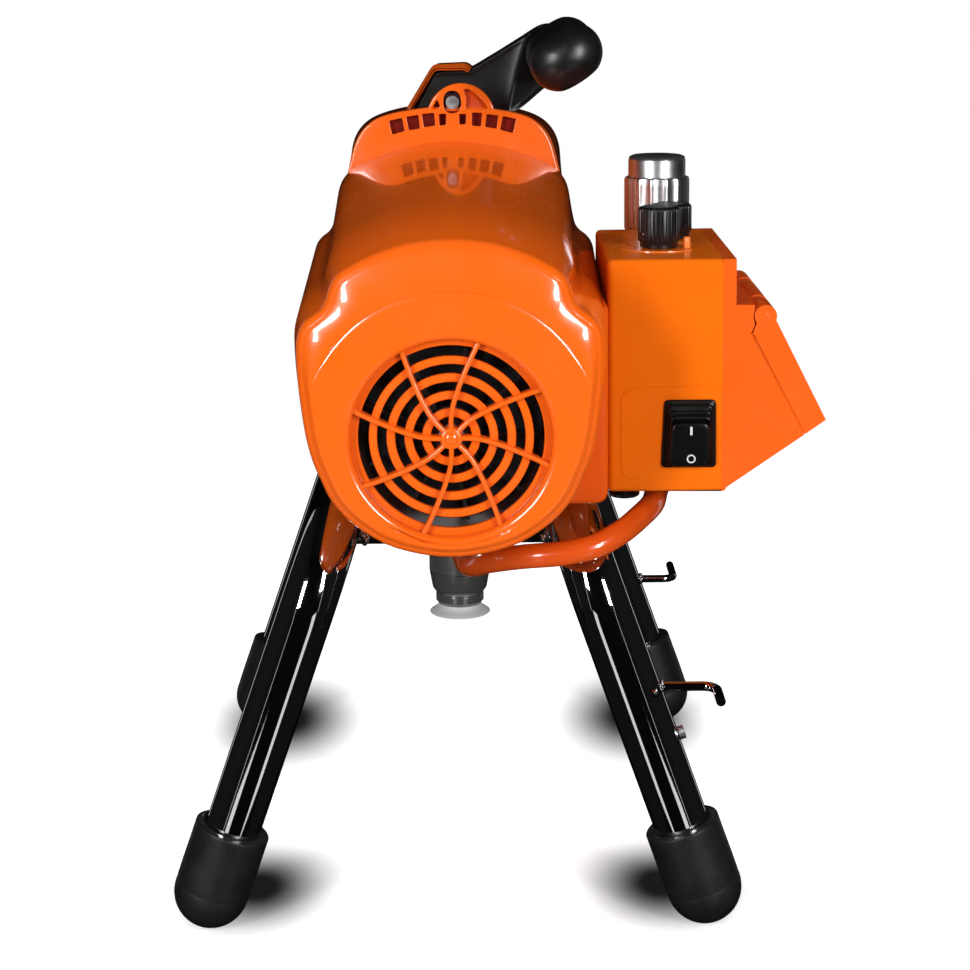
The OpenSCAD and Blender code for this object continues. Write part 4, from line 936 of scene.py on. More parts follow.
# %% The wall's slots, windows and bolt recess
AIR_SLOTS = [
    [(-34.6, 393.6), (-27.6, 395.2), (-26.2, 388.0), (-32.9, 386.2)],
    [(-25.2, 395.7), (-18.6, 396.7), (-17.9, 389.3), (-23.8, 388.4)],
    [(-16.7, 397.2), (-10.0, 397.7), (-9.6, 390.8), (-15.6, 390.0)],
    [(-7.5, 397.1), (-3.6, 397.2), (-3.7, 391.2), (-7.1, 390.8)],
    [(3.5, 397.0), (7.3, 397.0), (7.0, 391.5), (3.7, 391.2)],
    [(10.6, 397.7), (15.9, 397.5), (15.3, 390.2), (10.4, 390.6)],
    [(18.5, 396.8), (24.7, 396.0), (23.7, 388.9), (17.6, 389.9)],
    [(27.2, 395.6), (34.4, 394.1), (32.6, 386.4), (25.7, 388.2)],
]
SMALL_WINDOW = [(-11.2, 400.0), (-8.4, 404.9), (-6.8, 401.6), (-7.2, 400.4), (-9.4, 399.7)]
LARGE_WINDOW = [(6.1, 410.1), (7.2, 410.5), (9.1, 410.3), (13.7, 407.0), (17.3, 403.0), (19.2, 399.6),
                (15.0, 399.3), (7.1, 400.0), (7.3, 402.6), (7.5, 406.2), (6.4, 408.4)]
BOLT_X, BOLT_Z, RECESS_WIDE, RECESS_HIGH = -0.2, 403.5, 9.5, 12.2
bolt_hole = []
for k in range(28):
    s, c = math.sin(math.tau * k / 28), math.cos(math.tau * k / 28)
    squarer = Vector((math.copysign(abs(s) ** 0.8, s), math.copysign(abs(c) ** 0.8, c)))
    bolt_hole.append(Vector((BOLT_X, BOLT_Z)) + squarer * Vector((RECESS_WIDE, RECESS_HIGH)) / 2)
slot_holes = [rounded(hole, 0.6) for hole in AIR_SLOTS]
slot_holes += [rounded(SMALL_WINDOW, 0.6), rounded(LARGE_WINDOW, 0.8), bolt_hole]
wall = bmesh.new()
wall_plate(wall, wall_outline, WALL_Y, WALL_Y + 4, 1.0, holes=slot_holes, hole_back=WALL_Y + 3.6)
piece("upper_housing_wall", wall, orange_gloss, node="upper_housing", sharp=50)

# %% The body behind the wall and its foot
COVER_HALF = [(14, 393.4), (28, 391.8), (41, 388.8), (50, 385.2), (56, 380.6), (60.2, 374.5), (62.6, 367),
              (63.4, 358)]
cover_right = curve_through(COVER_HALF, 3, closed=False)
cover_right += [Vector(p) for p in ((64, 348), (64, 300), (64, HOUSE_FOOT))]
cover_left = [Vector((-p.x, p.y)) for p in reversed(cover_right)]
cover_top = [Vector(p) for p in ((-8, 394.0), (0, 394.2), (8, 394.0))]
left_foot, right_foot = Vector((-61, HOUSE_FOOT)), Vector((61, HOUSE_FOOT))
near_outline = [left_foot] + left_side + body_top + right_side + [right_foot]
far_outline = cover_left + cover_top + cover_right


def body_section(y, depth=0.0):
    """The closed outline of the body at y, inset by depth. It widens and falls a little towards the cover."""
    t = (y - WALL_Y) / (COVER_Y - WALL_Y)
    outline = [a.lerp(b, t) for a, b in zip(near_outline, far_outline)]
    return across(inset(outline, depth + 0.05), y)


house = lofted([body_section(y) for y in (WALL_Y + 3, WALL_Y + 30, WALL_Y + 80, COVER_Y - 1)]
               + [body_section(COVER_Y - 0.3, 0.3), body_section(COVER_Y, 1.0)], False, False)
low_faces = [face for face in house.faces if face.calc_center_median().z < (HOUSE_FOOT + 1.2) * MM]
bmesh.ops.delete(house, geom=low_faces, context="FACES")
thicken(piece("upper_housing_body", house, orange_gloss, node="upper_housing", sharp=50), HOUSE_WALL)

# %% Dark plates behind the slots and windows, as painted shade inside the housing
BACK_Y, WINDOW_Y = WALL_Y + 5.2, WALL_Y + 4.1
slot_back = bmesh.new()
behind = [(-36, 384), (-36, 394.2), (-20, 398.0), (-12.6, 399.2), (-8.8, 406.0), (-6.0, 403), (-5.6, 398.4),
          (10, 398.6), (24, 397.4), (35.6, 395.2), (35.6, 384)]
wall_plate(slot_back, rounded(behind, 0.6), BACK_Y, BACK_Y + 1, rim=0.2)
piece("air_slot_back", slot_back, slot_shade_orange, node="upper_housing", sharp=50)
window_back = bmesh.new()
wall_plate(window_back, rounded([(5, 411), (10, 411.4), (16.4, 407.0), (20.2, 398.6), (5, 398.6)], 1.2),
           WINDOW_Y, WINDOW_Y + 1, rim=0.2)
bmesh.ops.rotate(window_back, cent=at(12, WINDOW_Y, 404), verts=window_back.verts,
                 matrix=Matrix.Rotation(math.radians(9), 3, "Z") @ Matrix.Rotation(math.radians(-8), 3, "X"))
piece("ear_window_back", window_back, window_shade_orange, node="upper_housing", sharp=50)

# %% [markdown]
# ## The handle's bolt and the body screws
#
# Each screw that shows has a domed head with a cross cut in it. The cross is the gap that stays open between
# four raised quarters of the head.
# %% Cross-head screws


HEAD_HIGH, CROSS_FLOOR, CROSS_TURN = 2.0, 0.9, 34


def cross_head(bm, x, y, z, radius, way=1):
    """A domed screw head that faces the motor end (way 1) or the cover end (way -1)."""
    dome = [(0, -CROSS_FLOOR), (radius * 0.55, -CROSS_FLOOR), (radius * 0.6, -HEAD_HIGH * 0.98),
            (radius * 0.78, -HEAD_HIGH * 0.86), (radius * 0.93, -HEAD_HIGH * 0.5), (radius, 0)]
    turn(bm, [(r, way * a) for r, a in dome], at(x, y, z), Y_AXIS, steps=32)
    for k in range(4):
        start = math.radians(90 * k + CROSS_TURN)
        edge = [(radius * 0.57, start + math.radians(62) * j / 6) for j in range(7)]
        ring = [Vector((radius * 0.16 * math.cos(start + 0.54), radius * 0.16 * math.sin(start + 0.54)))]
        ring += [Vector((r * math.cos(a), r * math.sin(a))) for r, a in edge]
        loft(bm, [across(ring, y - way * h, x, z) for h in (CROSS_FLOOR * 0.9, HEAD_HIGH * 0.97)],
             cap_last=True)


# %% The handle's bolt in its well
screws = bmesh.new()
cross_head(screws, BOLT_X, WALL_Y + 5.6, BOLT_Z + 0.2, 2.9)
# The head takes the darkened steel, as painted shade.
piece("handle_bolt_look", screws, bolt_recess_shade, body="machine", sharp=35)
well = [Vector((BOLT_X + (p.x - BOLT_X) * 1.02, BOLT_Z + (p.y - BOLT_Z) * 1.02)) for p in bolt_hole]
bolt_well = lofted([across(well, y) for y in (WALL_Y + 0.7, WALL_Y + 6.4)], False)
# The well is lined with painted shade.
piece("handle_bolt_well", bolt_well, bolt_well_shade, body="machine", sharp=40)

# %% [markdown]
# ## The handle's hood and the front cover
#
# A raised hood carries the root of the handle. Its motor end is an open frame, and the handle's arm fills it
# with a narrow dark gap all round. The front cover closes the drive end with four screws.
# %% Hood
hood_front = node_mm("handle_hood")[0].y
HOOD_OUT = [(-26.6, 397), (-12.8, 419.4), (-10.6, 422.0), (7.6, 422.6), (11.6, 419.4), (20.9, 397)]
HOOD_IN = [(-24.2, 397), (-11.6, 418.4), (-9.6, 420.0), (7.2, 419.9), (9.8, 417.8), (18.4, 397)]
hood_out, hood_in = rounded(HOOD_OUT, 2.2), rounded(HOOD_IN, 1.8)
FRAME_Y, HOOD_FALL = 213, 4.6


def hood_ring(depth, y):
    """The hood's outline at y, inset by depth. It falls a little towards the cover."""
    fall = HOOD_FALL * (y - hood_front) / (COVER_Y - hood_front)
    return across(inset(hood_out, depth), y, z=-fall)


hood = lofted([hood_ring(2.4, FRAME_Y), hood_ring(0, FRAME_Y), hood_ring(0, 240),
               hood_ring(0, COVER_Y - 1.6), hood_ring(0.5, COVER_Y - 0.4), hood_ring(1.6, COVER_Y)])
# The frame in front is open on the right, where the arm comes out.
keep = [i for i, p in enumerate(hood_out) if p.x < 10.6 and p.y > 397.5]
frame_out = [Vector((-26.4, 397.4))] + [hood_out[i] for i in keep]
frame_in = [Vector((-24.0, 397.4))] + [hood_in[i] for i in keep]
HOOD_MIDDLE = Vector((-2.5, 405))
slices = []
for far, near in zip(frame_out, frame_in):
    inward = (HOOD_MIDDLE - near).normalized()
    lip, brim, drop = near + inward * 0.55, near + inward * 1.3, Vector((0, -1.4))
    corners = [(lip, 6), (near, 6), (near, 0.3), (near.lerp(far, 0.1), 0), (near.lerp(far, 0.9), 4.6),
               (far, 5.6), (far + drop, FRAME_Y + 0.2 - hood_front),
               (brim + drop, FRAME_Y + 0.2 - hood_front), (brim, 2.6), (lip, 2.4)]
    slices.append([at(p.x, hood_front + back, p.y) for p, back in corners])
loft(hood, slices, cap_first=True, cap_last=True)
piece("handle_hood_look", hood, orange_gloss, node="handle_hood", sharp=50)

# %% Front cover
lid_outline = inset(far_outline, 1.2)
lid = lofted([across(inset(lid_outline, depth), COVER_Y - low) for low, depth in
              ((5.6, 0), (1.0, 0), (0.2, 0.5), (0, 1.6), (0, 5), (0.7, 6))], False)
piece("front_cover_look", lid, orange_gloss, node="front_cover", sharp=40)
cover_screws = bmesh.new()
for x in (-44, 44):
    for z in (MOTOR_Z, MOTOR_Z + 110):
        cross_head(cover_screws, x, COVER_Y, z, 4, way=-1)
piece("front_cover_screws", cover_screws, plated_steel, body="machine", sharp=35)

# %% [markdown]
# ## The carry handle
#
# The handle is one black moulding. Its arm is a plate that rises from the hood and turns a corner along a
# soft crease, and its grip is a fat oval bar with domed ends that reaches back over the motor. The arm is
# lofted along its length through slices that run from its top edge to its foot. The grip is a stack of ovals
# that shrink at both ends as a dome does.
# %% Arm
ARM_NEAR, ARM_FAR, ARM_CORNER = 183, 211, 1.5
GRIP_X, GRIP_Z, GRIP_TILT = 59.5, 429.7, 33
ARM_TOP = [(-9.8, 417.2), (-3, 418.2), (6.6, 418.3), (11, 419.9), (24, 427.4), (38, 435.9), (49, 442.4),
           (58, 443.4)]
ARM_FOOT = [(-20.6, 397), (-8, 397), (10, 396.4), (22, 395.6), (34, 395.2), (51, 408.2), (60, 415.4),
            (67, 427.6)]
upper_line = curve_through(ARM_TOP, 14, closed=False)
lower_line = curve_through(ARM_FOOT, 14, closed=False)


def arm_depth(p):
    """How far the arm's face stands back at a point. It swells up to the crease and falls away beyond it."""
    beyond = p.x - (30.8 + (p.y - 395.6) * 0.19 + 0.0022 * max(0.0, p.y - 405) ** 2)
    if beyond < 0:
        return 2.6 - 1.5 * math.exp(beyond / 4.2)
    return 1.1 + min(9.0, 0.16 * beyond * min(1, beyond / 1.6) + 0.40 * beyond)


def arm_section(upper, lower):
    """One slice through the arm, from its top edge to its foot, with rounded edges."""
    front = []
    for k in range(25):
        share = 0.5 - 0.5 * math.cos(math.pi * k / 24)
        p = upper.lerp(lower, share)
        edge = min(share, 1 - share) * (upper - lower).length
        drop = 2.2 * (1 - math.sqrt(max(0.0, 1 - (1 - min(edge, 2.2) / 2.2) ** 2)))
        front.append(at(p.x, ARM_NEAR + arm_depth(p) * min(1, edge / 3 + 0.3) + drop, p.y))
    round_off = (upper - lower).normalized() * ARM_CORNER
    back = [(lower, ARM_FAR - ARM_CORNER), (lower + round_off, ARM_FAR), (upper - round_off, ARM_FAR),
            (upper, ARM_FAR - ARM_CORNER)]
    return front + [at(p.x, y, p.y) for p, y in back]


arm = lofted([arm_section(u, v) for u, v in zip(upper_line, lower_line)])
piece("carry_handle_arm", arm, handle_black, node="carry_handle", sharp=50)

# %% Grip
GRIP_WIDE, GRIP_THICK = 19.9, 15.3
GRIP_START, GRIP_END = node_mm("carry_handle")[0].y, 205
ends = [(1 - math.cos(math.radians(a))) for a in range(0, 91, 9)]
dome = [math.sqrt(1 - (1 - e) ** 2) for e in ends]
stations = [(GRIP_START + GRIP_THICK * e, d) for e, d in zip(ends, dome)]
stations += [(y, 1.0 - 0.02 * math.sin(math.pi * (y - 110) / 75)) for y in (115, 130, 148, 166, 182)]
stations += [(GRIP_END - GRIP_THICK * e, d) for e, d in zip(ends[::-1], dome[::-1])]
tilt = Matrix.Rotation(math.radians(-GRIP_TILT), 4, "Y")
rings = []
for y, grown in stations:
    grown = max(grown, 0.03)
    bulge = (GRIP_WIDE - GRIP_THICK) * min(1, grown * 1.15)
    ring = []
    for k in range(48):
        a = math.tau * k / 48
        wide = math.copysign(bulge, math.cos(a)) * min(1, abs(math.cos(a)) * 3)
        p = tilt @ Vector((wide + GRIP_THICK * grown * math.cos(a), 0, GRIP_THICK * grown * math.sin(a)))
        ring.append(at(GRIP_X + p.x, y, GRIP_Z + p.z))
    rings.append(ring)
piece("carry_handle_grip", lofted(rings), handle_black, node="carry_handle", sharp=70)
print("grip from", stations[0][0], "to", stations[-1][0], "mm")

# %% [markdown]
# ## The control box
#
# The box is bent and welded sheet, powder coated, so its corners are round all over. It is a rounded
# rectangle drawn upwards, smaller at its first and last steps. A thin panel is raised on its motor-side
# face round the switch.
# %% A rounded block drawn upwards


def slab(outline, low, high, r):
    """A block from a clockwise outline seen from above, with its lower and upper edges rounded by r."""
    angles = [math.radians(22.5 * k) for k in range(5)]
    curve = [(r * (1 - math.sin(a)), r * (1 - math.cos(a))) for a in angles]
    sections = [(depth, low + rise) for depth, rise in curve]
    sections += [(depth, high - rise) for depth, rise in reversed(curve)]
    return lofted([[at(p.x, p.y, z) for p in inset(outline, depth)] for depth, z in sections])


# %% The box
box_low, box_high = node_mm("control_box")
cover_low, cover_high = node_mm("side_cover")
SEAM_X, BOX_TOP, BOX_Z = cover_low.x, cover_high.z, box_low.z
BOX_X, BOX_Y, BOX_END = box_low.x, box_low.y, box_high.y
CORNER_R, EDGE_R, UNDER_COVER, BEHIND_FACE = 3.2, 2.6, 2.6, 0.5
near_corner = arc((BOX_X + CORNER_R, BOX_Y + CORNER_R), CORNER_R, 270, 180, 6)
far_corner = arc((BOX_X + CORNER_R, BOX_END - CORNER_R), CORNER_R, 180, 90, 6)
under_far = [(SEAM_X, BOX_END), (SEAM_X + 0.1, BOX_END - BEHIND_FACE),
             (SEAM_X + UNDER_COVER, BOX_END - BEHIND_FACE)]
under_near = [(SEAM_X + UNDER_COVER, BOX_Y + BEHIND_FACE), (SEAM_X + 0.1, BOX_Y + BEHIND_FACE),
              (SEAM_X, BOX_Y)]
box_plan = [Vector(p) for p in near_corner + far_corner + under_far + under_near]
box = slab(box_plan, BOX_Z, BOX_TOP, EDGE_R)
PANEL_END = SEAM_X - 0.4
PANEL = [(82.6, 271.6), (96, 273.0), (PANEL_END - 0.2, 273.2), (PANEL_END, 273.0), (PANEL_END, 226.8),
         (PANEL_END - 0.2, 226.6), (82.6, 226.6)]
wall_plate(box, rounded(PANEL, 7), BOX_Y - 0.3, BOX_Y + 0.6, rim=0.3)
flatten(piece("control_box_look", box, box_orange, node="control_box", sharp=60))
print("box top at", round(BOX_TOP), "mm")

# %% [markdown]
# ## Scale, peg and knobs
#
# A raised arc round the front knob shows how far it has turned, with short ticks behind it and a peg that
# stops it. The knobs are fluted so that a wet glove can hold them: a turned body whose outline has a fine
# wave round it. Their top discs are flat inlays with a bright edge.
# %% The raised scale and the peg


def centre_of(node):
    """The middle of a CAD node seen from above, its radius and its height from low to high."""
    low, high = node_mm(node)
    return (low.x + high.x) / 2, (low.y + high.y) / 2, (high.x - low.x) / 2, low.z, high.z


KNOB_X, KNOB_Y = centre_of("pressure_knob")[:2]
SCALE_R, SCALE_WIDE, SCALE_ROOT = 19.6, 1.1, BOX_TOP - 0.3
strip = [(SCALE_R - SCALE_WIDE / 2, SCALE_ROOT), (SCALE_R - SCALE_WIDE / 2 + 0.12, BOX_TOP + 0.45),
         (SCALE_R + SCALE_WIDE / 2 - 0.12, BOX_TOP + 0.45), (SCALE_R + SCALE_WIDE / 2, SCALE_ROOT)]
slices = []
for step in range(41):
    a = math.radians(178 + 144 * step / 40)
    slices.append([at(KNOB_X + r * math.cos(a), KNOB_Y + r * math.sin(a), z) for r, z in strip])
scale_marks = lofted(slices)
for angle in range(30, 151, 20):
    spin = Matrix.Rotation(math.radians(angle), 2)
    tick = [spin @ Vector(p) for p in ((17.6, -0.45), (20.6, -0.45), (20.6, 0.45), (17.6, 0.45))]
    loft(scale_marks, [[at(KNOB_X + p.x, KNOB_Y + p.y, z) for p in tick]
                       for z in (SCALE_ROOT, BOX_TOP + 0.35)], cap_last=True)
piece("dial_scale", scale_marks, scale_orange, body="machine", sharp=40)
peg = turned([(0, 5.6), (1.3, 5.6), (1.65, 5.3), (1.8, 4.8), (1.8, 0), (2.4, -0.2), (0, -0.3)],
             at(118.6, 53, BOX_TOP), Z_AXIS, steps=24)
piece("scale_peg", peg, scale_orange, body="machine", sharp=50)


# %% Knobs


def grooved_ring(x, y, z, r, cuts, shift=0.0):
    """A ring whose points are cut in by so many millimetres. shift turns it by a part of a point."""
    made = []
    for k, cut in enumerate(cuts):
        a = math.tau * (k + shift) / len(cuts)
        made.append(at(x + (r - cut) * math.cos(a), y + (r - cut) * math.sin(a), z))
    return made


def fluted(x, y, radius, flute, rings, shift=0.0):
    """A round body with flutes. flute is their shape as shares of a depth, one for each point of a ring.

    Each ring says how far it is inside the radius, its height and the depth of the flutes there.
    """
    return lofted([grooved_ring(x, y, z, radius - inside, [depth * share for share in flute], shift)
                   for inside, z, depth in rings])


FLUTES, KNOB_SIDES = 30, 240
knob_flute = [max(0.0, math.cos(FLUTES * math.tau * k / KNOB_SIDES)) ** 1.5 for k in range(KNOB_SIDES)]


def knob(node, body):
    """A fluted knob with a smooth skirt below, a flat inlay on top and a grub screw in its side."""
    x, y, radius, _, top = centre_of(node)
    base = BOX_TOP + 0.3
    rings = [(1.6, base, 0), (1.1, base + 0.3, 0), (1.1, base + 2.6, 0), (0.9, base + 3.0, 0),
             (0.5, base + 3.05, 0), (0, base + 3.5, 0.55), (0, base + 8, 0.6), (0, top - 2.0, 0.6),
             (0.2, top - 1.2, 0.5), (0.7, top - 0.6, 0.1), (1.5, top - 0.1, 0), (2.0, top, 0),
             (2.6, top, 0), (2.7, top - 0.35, 0)]
    piece(node + "_grip", fluted(x, y, radius, knob_flute, rings), knob_black, node=node, sharp=50)
    edge = radius - 2.75
    inlay = turned([(0, -0.1), (edge - 0.15, -0.1), (edge, -0.25), (edge, -0.9), (0, -0.9)],
                   at(x, y, top), Z_AXIS, steps=64)
    piece(node + "_inlay", inlay, inlay_grey, body=body, sharp=40)
    side_on = Vector((-0.87, -0.5, 0))
    grub = turned([(0, -1.2), (0.9, -1.2), (1.0, -0.05), (1.5, 0.05), (1.6, -0.3)],
                  at(x, y, base + 7) + side_on * radius * MM, side_on, steps=20, start=Z_AXIS)
    piece(node + "_grub_hole", grub, black_gloss, body=body, sharp=40)


knob("pressure_knob", "pressure_control")
knob("mode_knob", "mode_control")

# %% [markdown]
# ## The fluted filter bowl
#
# The bowl is turned bright metal with fourteen shallow flutes milled down its side, so that it can be held
# when it is unscrewed, and a dark plastic disc on top. The flutes cut the reflections into hard vertical
# bars.
# %% Bowl
BOWL_X, BOWL_Y, BOWL_R, BOWL_Z, BOWL_TOP = centre_of("filter_bowl")
BOWL_X, BOWL_R, BOWL_TOP = BOWL_X - 1.8, BOWL_R - 0.5, BOWL_TOP - 1
NECK = 361.5
MILLED, STEPS_EACH, FLUTE_SHARE = 14, 16, 0.8
from_flute = [abs(((k + 0.5) / STEPS_EACH) % 1 - 0.5) * 2 for k in range(MILLED * STEPS_EACH)]
bowl_flute = [max(0.0, 1 - (off / FLUTE_SHARE) ** 2) for off in from_flute]
rings = [(1.2, BOWL_Z, 0), (0, BOWL_Z + 1.2, 0), (0, BOWL_Z + 3, 0), (0, BOWL_Z + 4.4, 0.9),
         (0, NECK - 4, 0.9), (0, NECK - 1.4, 0.9), (0.5, NECK, 0.6), (2.0, NECK + 0.5, 0),
         (2.2, NECK + 1.0, 0), (2.2, BOWL_TOP - 3.2, 0), (2.5, BOWL_TOP - 2.4, 0), (3.0, BOWL_TOP - 2.2, 0)]
bowl = fluted(BOWL_X, BOWL_Y, BOWL_R, bowl_flute, rings, shift=0.5)
piece("filter_bowl_look", bowl, bright_bowl, node="filter_bowl", sharp=30)
top_disc = turned([(0, 0), (8, -0.15), (BOWL_R - 4.4, -0.6), (BOWL_R - 3.0, -1.2), (BOWL_R - 2.5, -1.9),
                   (BOWL_R - 2.5, -2.6), (0, -2.6)], at(BOWL_X, BOWL_Y, BOWL_TOP), Z_AXIS, steps=72)
piece("bowl_top_disc", top_disc, inlay_grey, body="machine", sharp=40)

# %% [markdown]
# ## The switch and its rubber cover
#
# A rocker switch in a wet place wears a soft boot. The boot has a flat flange, three folds above, and a
# pillow over the rocker. The pillow has a bar moulded at the top and a ring at the bottom.
# %% Flange, folds and pillow
BOOT_CORNERS = [(104.0, 266.6), (129.3, 266.6), (129.6, 232.6), (102.4, 232.6)]


def boot_part(loops, radius):
    """A part of the boot from (y, sides, top, foot) loops, each moved in at the sides, down and up."""
    sections = []
    for y, sides, top, foot in loops:
        moves = ((sides, -top), (-sides, -top), (-sides, foot), (sides, foot))
        corners = [(x + dx, z + dz) for (x, z), (dx, dz) in zip(BOOT_CORNERS, moves)]
        sections.append(across(rounded(corners, radius), BOX_Y + y))
    return lofted(sections)


FOLDS = [(0.3, 0, 0, 0), (-1.0, 0, 0, 0), (-1.6, 0.3, 0.3, 0.3), (-1.8, 0.9, 0.9, 0.9), (-1.7, 1.5, 1.8, 1.4),
         (-2.8, 1.7, 2.4, 1.6), (-3.3, 1.9, 2.8, 1.6), (-3.5, 2.3, 3.3, 1.7), (-3.2, 2.6, 4.6, 1.7),
         (-4.1, 2.6, 5.2, 1.7), (-4.5, 2.7, 5.6, 1.7), (-4.6, 2.9, 6.1, 1.7), (-4.2, 3.0, 7.1, 1.7),
         (-5.0, 3.0, 7.6, 1.7), (-5.4, 3.1, 8.0, 1.7), (-5.5, 3.3, 8.5, 1.8), (-3.4, 3.6, 9.6, 2.0)]
PILLOW = [(-3.2, 3.8, 10.8, 2.0), (-4.2, 3.4, 10.4, 1.6), (-5.6, 3.3, 10.4, 1.6), (-6.2, 3.6, 10.7, 1.9),
          (-6.5, 4.3, 11.4, 2.5), (-6.6, 5.4, 12.4, 3.6)]
piece("switch_boot", boot_part(FOLDS, 2.4), boot_black, node="switch_frame", sharp=70)
piece("switch_pillow", boot_part(PILLOW, 3.6), boot_gloss, node="switch_rocker", sharp=60)

# %% The switch marks
MARK_X, BAR_Z, RING_Z = 116.8, 252.2, 238.2
MARK_Y, MARK_ROOT, MARK_FACE = BOX_Y - 6.6, 0.1, -0.25
bar = rounded([(-0.57, 2.1), (0.57, 2.1), (0.57, -2.1), (-0.57, -2.1)], 0.25)
marks = lofted([across(bar, MARK_Y + y, MARK_X, BAR_Z) for y in (MARK_ROOT, MARK_FACE)], False)
turn(marks, [(1.5, MARK_ROOT), (1.5, MARK_FACE), (2.15, MARK_FACE), (2.15, MARK_ROOT)],
     at(MARK_X, MARK_Y, RING_Z), Y_AXIS, steps=40)
piece("switch_marks", marks, mark_white, body="rocker", sharp=40)

# %% [markdown]
# ## The side cover and the display flap
#
# The cover and its flap keep their CAD shapes. Their edges are rounded as a mould would round them. A thin
# lip on the cover closes the line under the flap, and a cap closes the end of the flap's hinge. The filter
# block under the bowl is softened in the same way.
# %% Softened copies, hinge cap and lip
for node in ("side_cover", "display_flap"):
    soft_copy(node, cover_orange, bevel=0.35, segments=3)
PIN_X, _, _, PIN_LOW, PIN_HIGH = centre_of("hinge_pin")
FLAP_Y = node_mm("display_flap")[0].y
hinge_cap = turned([(0, 0), (2.2, 0), (2.6, 0.3), (2.6, 0.9), (0, 0.9)],
                   at(PIN_X, FLAP_Y + 0.05, (PIN_LOW + PIN_HIGH) / 2), Y_AXIS, steps=32)
piece("flap_hinge_cap", hinge_cap, cover_orange, body="flap", sharp=40)
LIP = [(146.6, 299.0), (147.1, 299.3), (173.5, 248.9), (172.9, 248.6)]
lip = lofted([across(LIP, y) for y in (cover_low.y + 0.4, cover_high.y - 0.4)])
# The lip wears the darker orange as painted shade under the flap.
piece("cover_lip", lip, shade_darkened_orange, body="machine", sharp=40)
soft_copy("filter_block", cast_metal, bevel=1.0, segments=3)

# %% [markdown]
# ## The pump and its inlet
#
# The pump hangs under the crank case. Its cylinder, the inlet valve and the cap that keeps dirt out are all
# turned, so each is one half outline spun round the pump's axis. The jam nut above them has eight grooves
# for a hook wrench.
# %% Cylinder, inlet valve and cap
cyl_low, cyl_high = node_mm("pump_cylinder")
PUMP_Y, PUMP_R = (cyl_low.y + cyl_high.y) / 2, (cyl_high.y - cyl_low.y) / 2
BORE_R, CYL_Z, CYL_TOP = 12.05, cyl_low.z, cyl_high.z
INLET_Z = node_mm("inlet_valve")[0].z
CAP_Z = node_mm("inlet_cap")[0].z
cylinder = [(BORE_R, CYL_Z + 0.1), (PUMP_R - 0.5, CYL_Z + 0.1), (PUMP_R, CYL_Z + 0.6),
            (PUMP_R, CYL_TOP - 0.8), (PUMP_R - 0.8, CYL_TOP), (BORE_R + 3, CYL_TOP),
            (BORE_R + 3, CYL_TOP - 12), (BORE_R, CYL_TOP - 12)]
valve_below = [(r, INLET_Z + up) for r, up in (
    (5.5, 3), (12.6, 3), (13.3, 3.3), (14.3, 4.4), (14.4, 4.8), (14.4, 8.2), (14.0, 8.5), (14.0, 9.2),
    (16.1, 12.1), (16.4, 12.8))]
valve_above = [(PUMP_R, CYL_Z), (11.9, CYL_Z), (11.9, CYL_Z + 4.9), (8, CYL_Z + 4.9)]
valve_bore = [(8, INLET_Z + 12), (5.5, INLET_Z + 12)]
saucer = curve_through([(17.6, 8.6), (16.6, 9.4), (14.8, 10.4), (13.4, 12.0), (13.0, 13.6)], 4, closed=False)
cap = [(4, 13.6), (4, 7.4), (16.4, 7.4), (17.6, 7.6), (18.1, 8.0), (18.0, 8.4)] + [tuple(p) for p in saucer]
for node, outline, paint, sharp in (
        ("pump_cylinder", cylinder, turned_steel, 35),
        ("inlet_valve", valve_below + valve_above + valve_bore, turned_steel, 35),
        ("inlet_cap", [(r, CAP_Z + up) for r, up in cap], pale_nylon, 60)):
    bm = turned(outline + outline[:1], at(0, PUMP_Y, 0), Z_AXIS, steps=72)
    piece(node + "_look", bm, paint, node=node, sharp=sharp)

# %% Jam nut
nut_low, nut_high = node_mm("jam_nut")
NUT_R = (nut_high.y - nut_low.y) / 2
GROOVES, NUT_SIDES = 8, 240


def nut_ring(r, z, groove):
    """A ring of the jam nut with its round grooves."""
    each = NUT_SIDES / GROOVES
    offs = [abs((k / each) % 1 - 0.5) * each * math.tau / NUT_SIDES * r for k in range(NUT_SIDES)]
    return grooved_ring(0, PUMP_Y, z, r, [math.sqrt(max(0.0, groove ** 2 - off ** 2)) for off in offs])


nut = lofted([nut_ring(PUMP_R + 0.1, nut_high.z, 0), nut_ring(NUT_R - 0.8, nut_high.z, 2.6),
              nut_ring(NUT_R, nut_high.z - 0.8, 3.3), nut_ring(NUT_R, nut_low.z + 0.8, 3.3),
              nut_ring(NUT_R - 0.8, nut_low.z, 2.6), nut_ring(PUMP_R + 0.1, nut_low.z, 0),
              nut_ring(PUMP_R + 0.1, nut_high.z, 0)], False, False)
piece("jam_nut_look", nut, dark_steel, node="jam_nut", sharp=35)

# %% [markdown]
# ## The hose and its fittings
#
# The hose leaves the pump towards the motor end, runs under the shroud, swings out past it and turns back to
# the filter block. It is one sweep through a smooth curve. At each end a hexagonal fitting clamps it, and a
# short steel sleeve is pressed over the hose beside the hexagon.
# %% Hose
HOSE_R = 6
HOSE_ROUTE = [(0, 203, 174), (0, 185, 173), (1, 150, 171), (2, 110, 171), (4, 70, 172), (8, 34, 177),
              (18, 5, 187), (34, -13, 194), (52, -19, 197), (68, -18, 200), (82, -9, 205), (93, 8, 209),
              (100, 28, 210), (104, 55, 210), (109, 82, 210), (112, 104, 211), (113, 124, 212)]
hose = bmesh.new()
hose_line = [at(*p) for p in curve_through(HOSE_ROUTE, 10, closed=False)]
sweep(hose, hose_line, [HOSE_R] * len(hose_line), 32, Z_AXIS)
piece("fluid_hose_look", hose, hose_orange, node="fluid_hose", sharp=50)


# %% Fittings


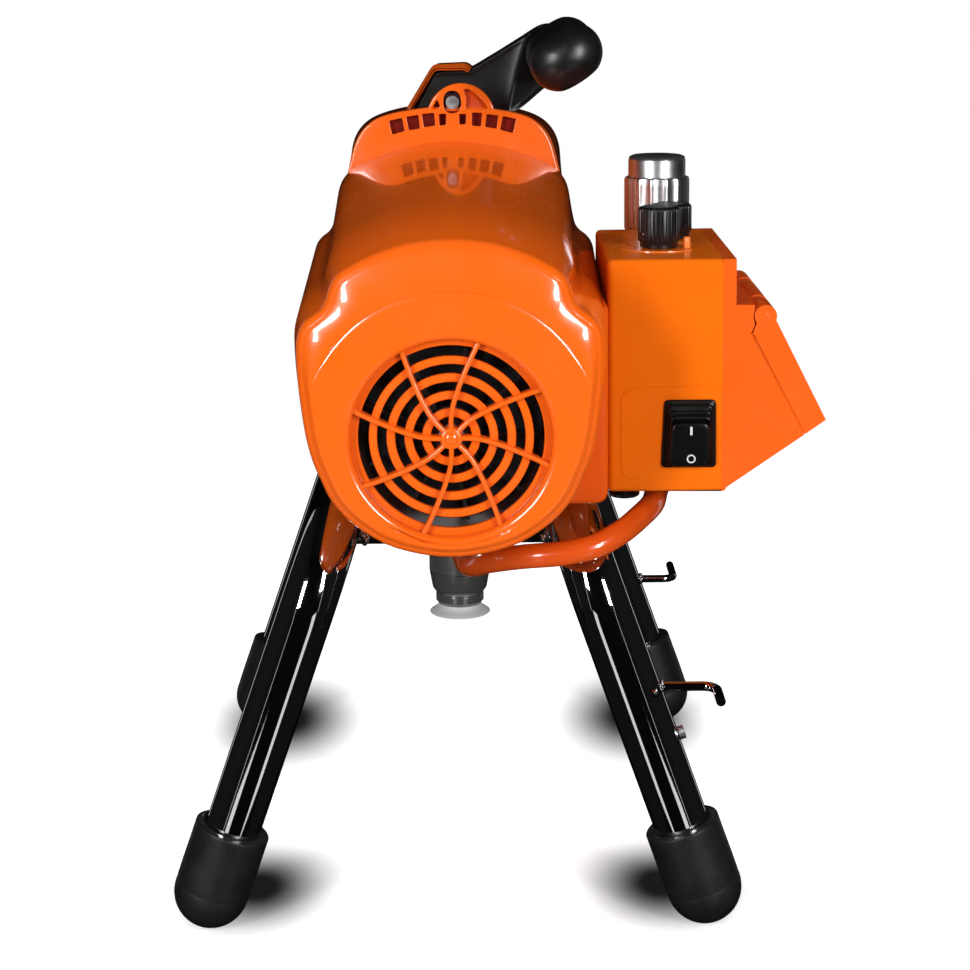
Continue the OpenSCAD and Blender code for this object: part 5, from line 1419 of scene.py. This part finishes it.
def hexagon(bm, place, axis, radius, length):
    """A hexagon bar with chamfered ends along an axis. radius reaches to its corners."""
    base = frame_on(place, axis, Z_AXIS)
    corners = [Vector((math.cos(math.tau * k / 6), math.sin(math.tau * k / 6), 0)) for k in range(6)]
    rings = ((radius - 1.4, 0), (radius, 1.0), (radius, length - 1.0), (radius - 1.4, length))
    loft(bm, [[base @ (corner * r * MM + Z_AXIS * along * MM) for corner in corners] for r, along in rings],
         cap_first=True, cap_last=True)


def ferrule(bm, place, axis, radius, length):
    """A pressed sleeve with three shallow crimps."""
    outline = [(0, 0), (radius - 0.6, 0), (radius, 0.6)]
    step = (length - 1.2) / 3
    for k in range(3):
        start = 0.6 + k * step
        outline += [(radius, start + step * 0.3), (radius - 0.5, start + step * 0.45),
                    (radius - 0.5, start + step * 0.7), (radius, start + step * 0.85)]
    outline += [(radius, length - 0.6), (radius - 0.6, length), (0, length)]
    turn(bm, outline, place, axis, steps=40)


fittings = bmesh.new()
pump_end, block_end = HOSE_ROUTE[0], HOSE_ROUTE[-1]
PUMP_HEX_Y, BLOCK_SLEEVE = PUMP_Y - PUMP_R - 7, 6.7
hexagon(fittings, at(pump_end[0], PUMP_HEX_Y, pump_end[2]), Y_AXIS, 10, 8)
ferrule(fittings, at(*pump_end), Y_AXIS, HOSE_R + 1.5, PUMP_HEX_Y - pump_end[1])
hexagon(fittings, at(*block_end) + Y_AXIS * BLOCK_SLEEVE * MM, Y_AXIS, 9.5, 6)
ferrule(fittings, at(*block_end), Y_AXIS, HOSE_R + 1.2, BLOCK_SLEEVE)
piece("hose_fittings_look", fittings, plated_steel, node="hose_fittings", sharp=35)

# %% [markdown]
# ## The cable gland
#
# The mains cord would enter through the gland under the box: a hexagon with a round collar and a dark hole.
# %% Cable gland
GLAND_X, GLAND_Y, _, GLAND_Z, _ = centre_of("cable_gland")
gland = turned([(3.6, 3), (3.6, 0.2), (4.2, 0), (6.6, 0), (7.4, 0.5), (7.8, 1.2), (7.8, 2)],
               at(GLAND_X, GLAND_Y, GLAND_Z), Z_AXIS)
hexagon(gland, at(GLAND_X, GLAND_Y, GLAND_Z + 1.0), Z_AXIS, 9.4, BOX_Z - GLAND_Z - 1.0)
piece("cable_gland_look", gland, black_satin, node="cable_gland", sharp=40)
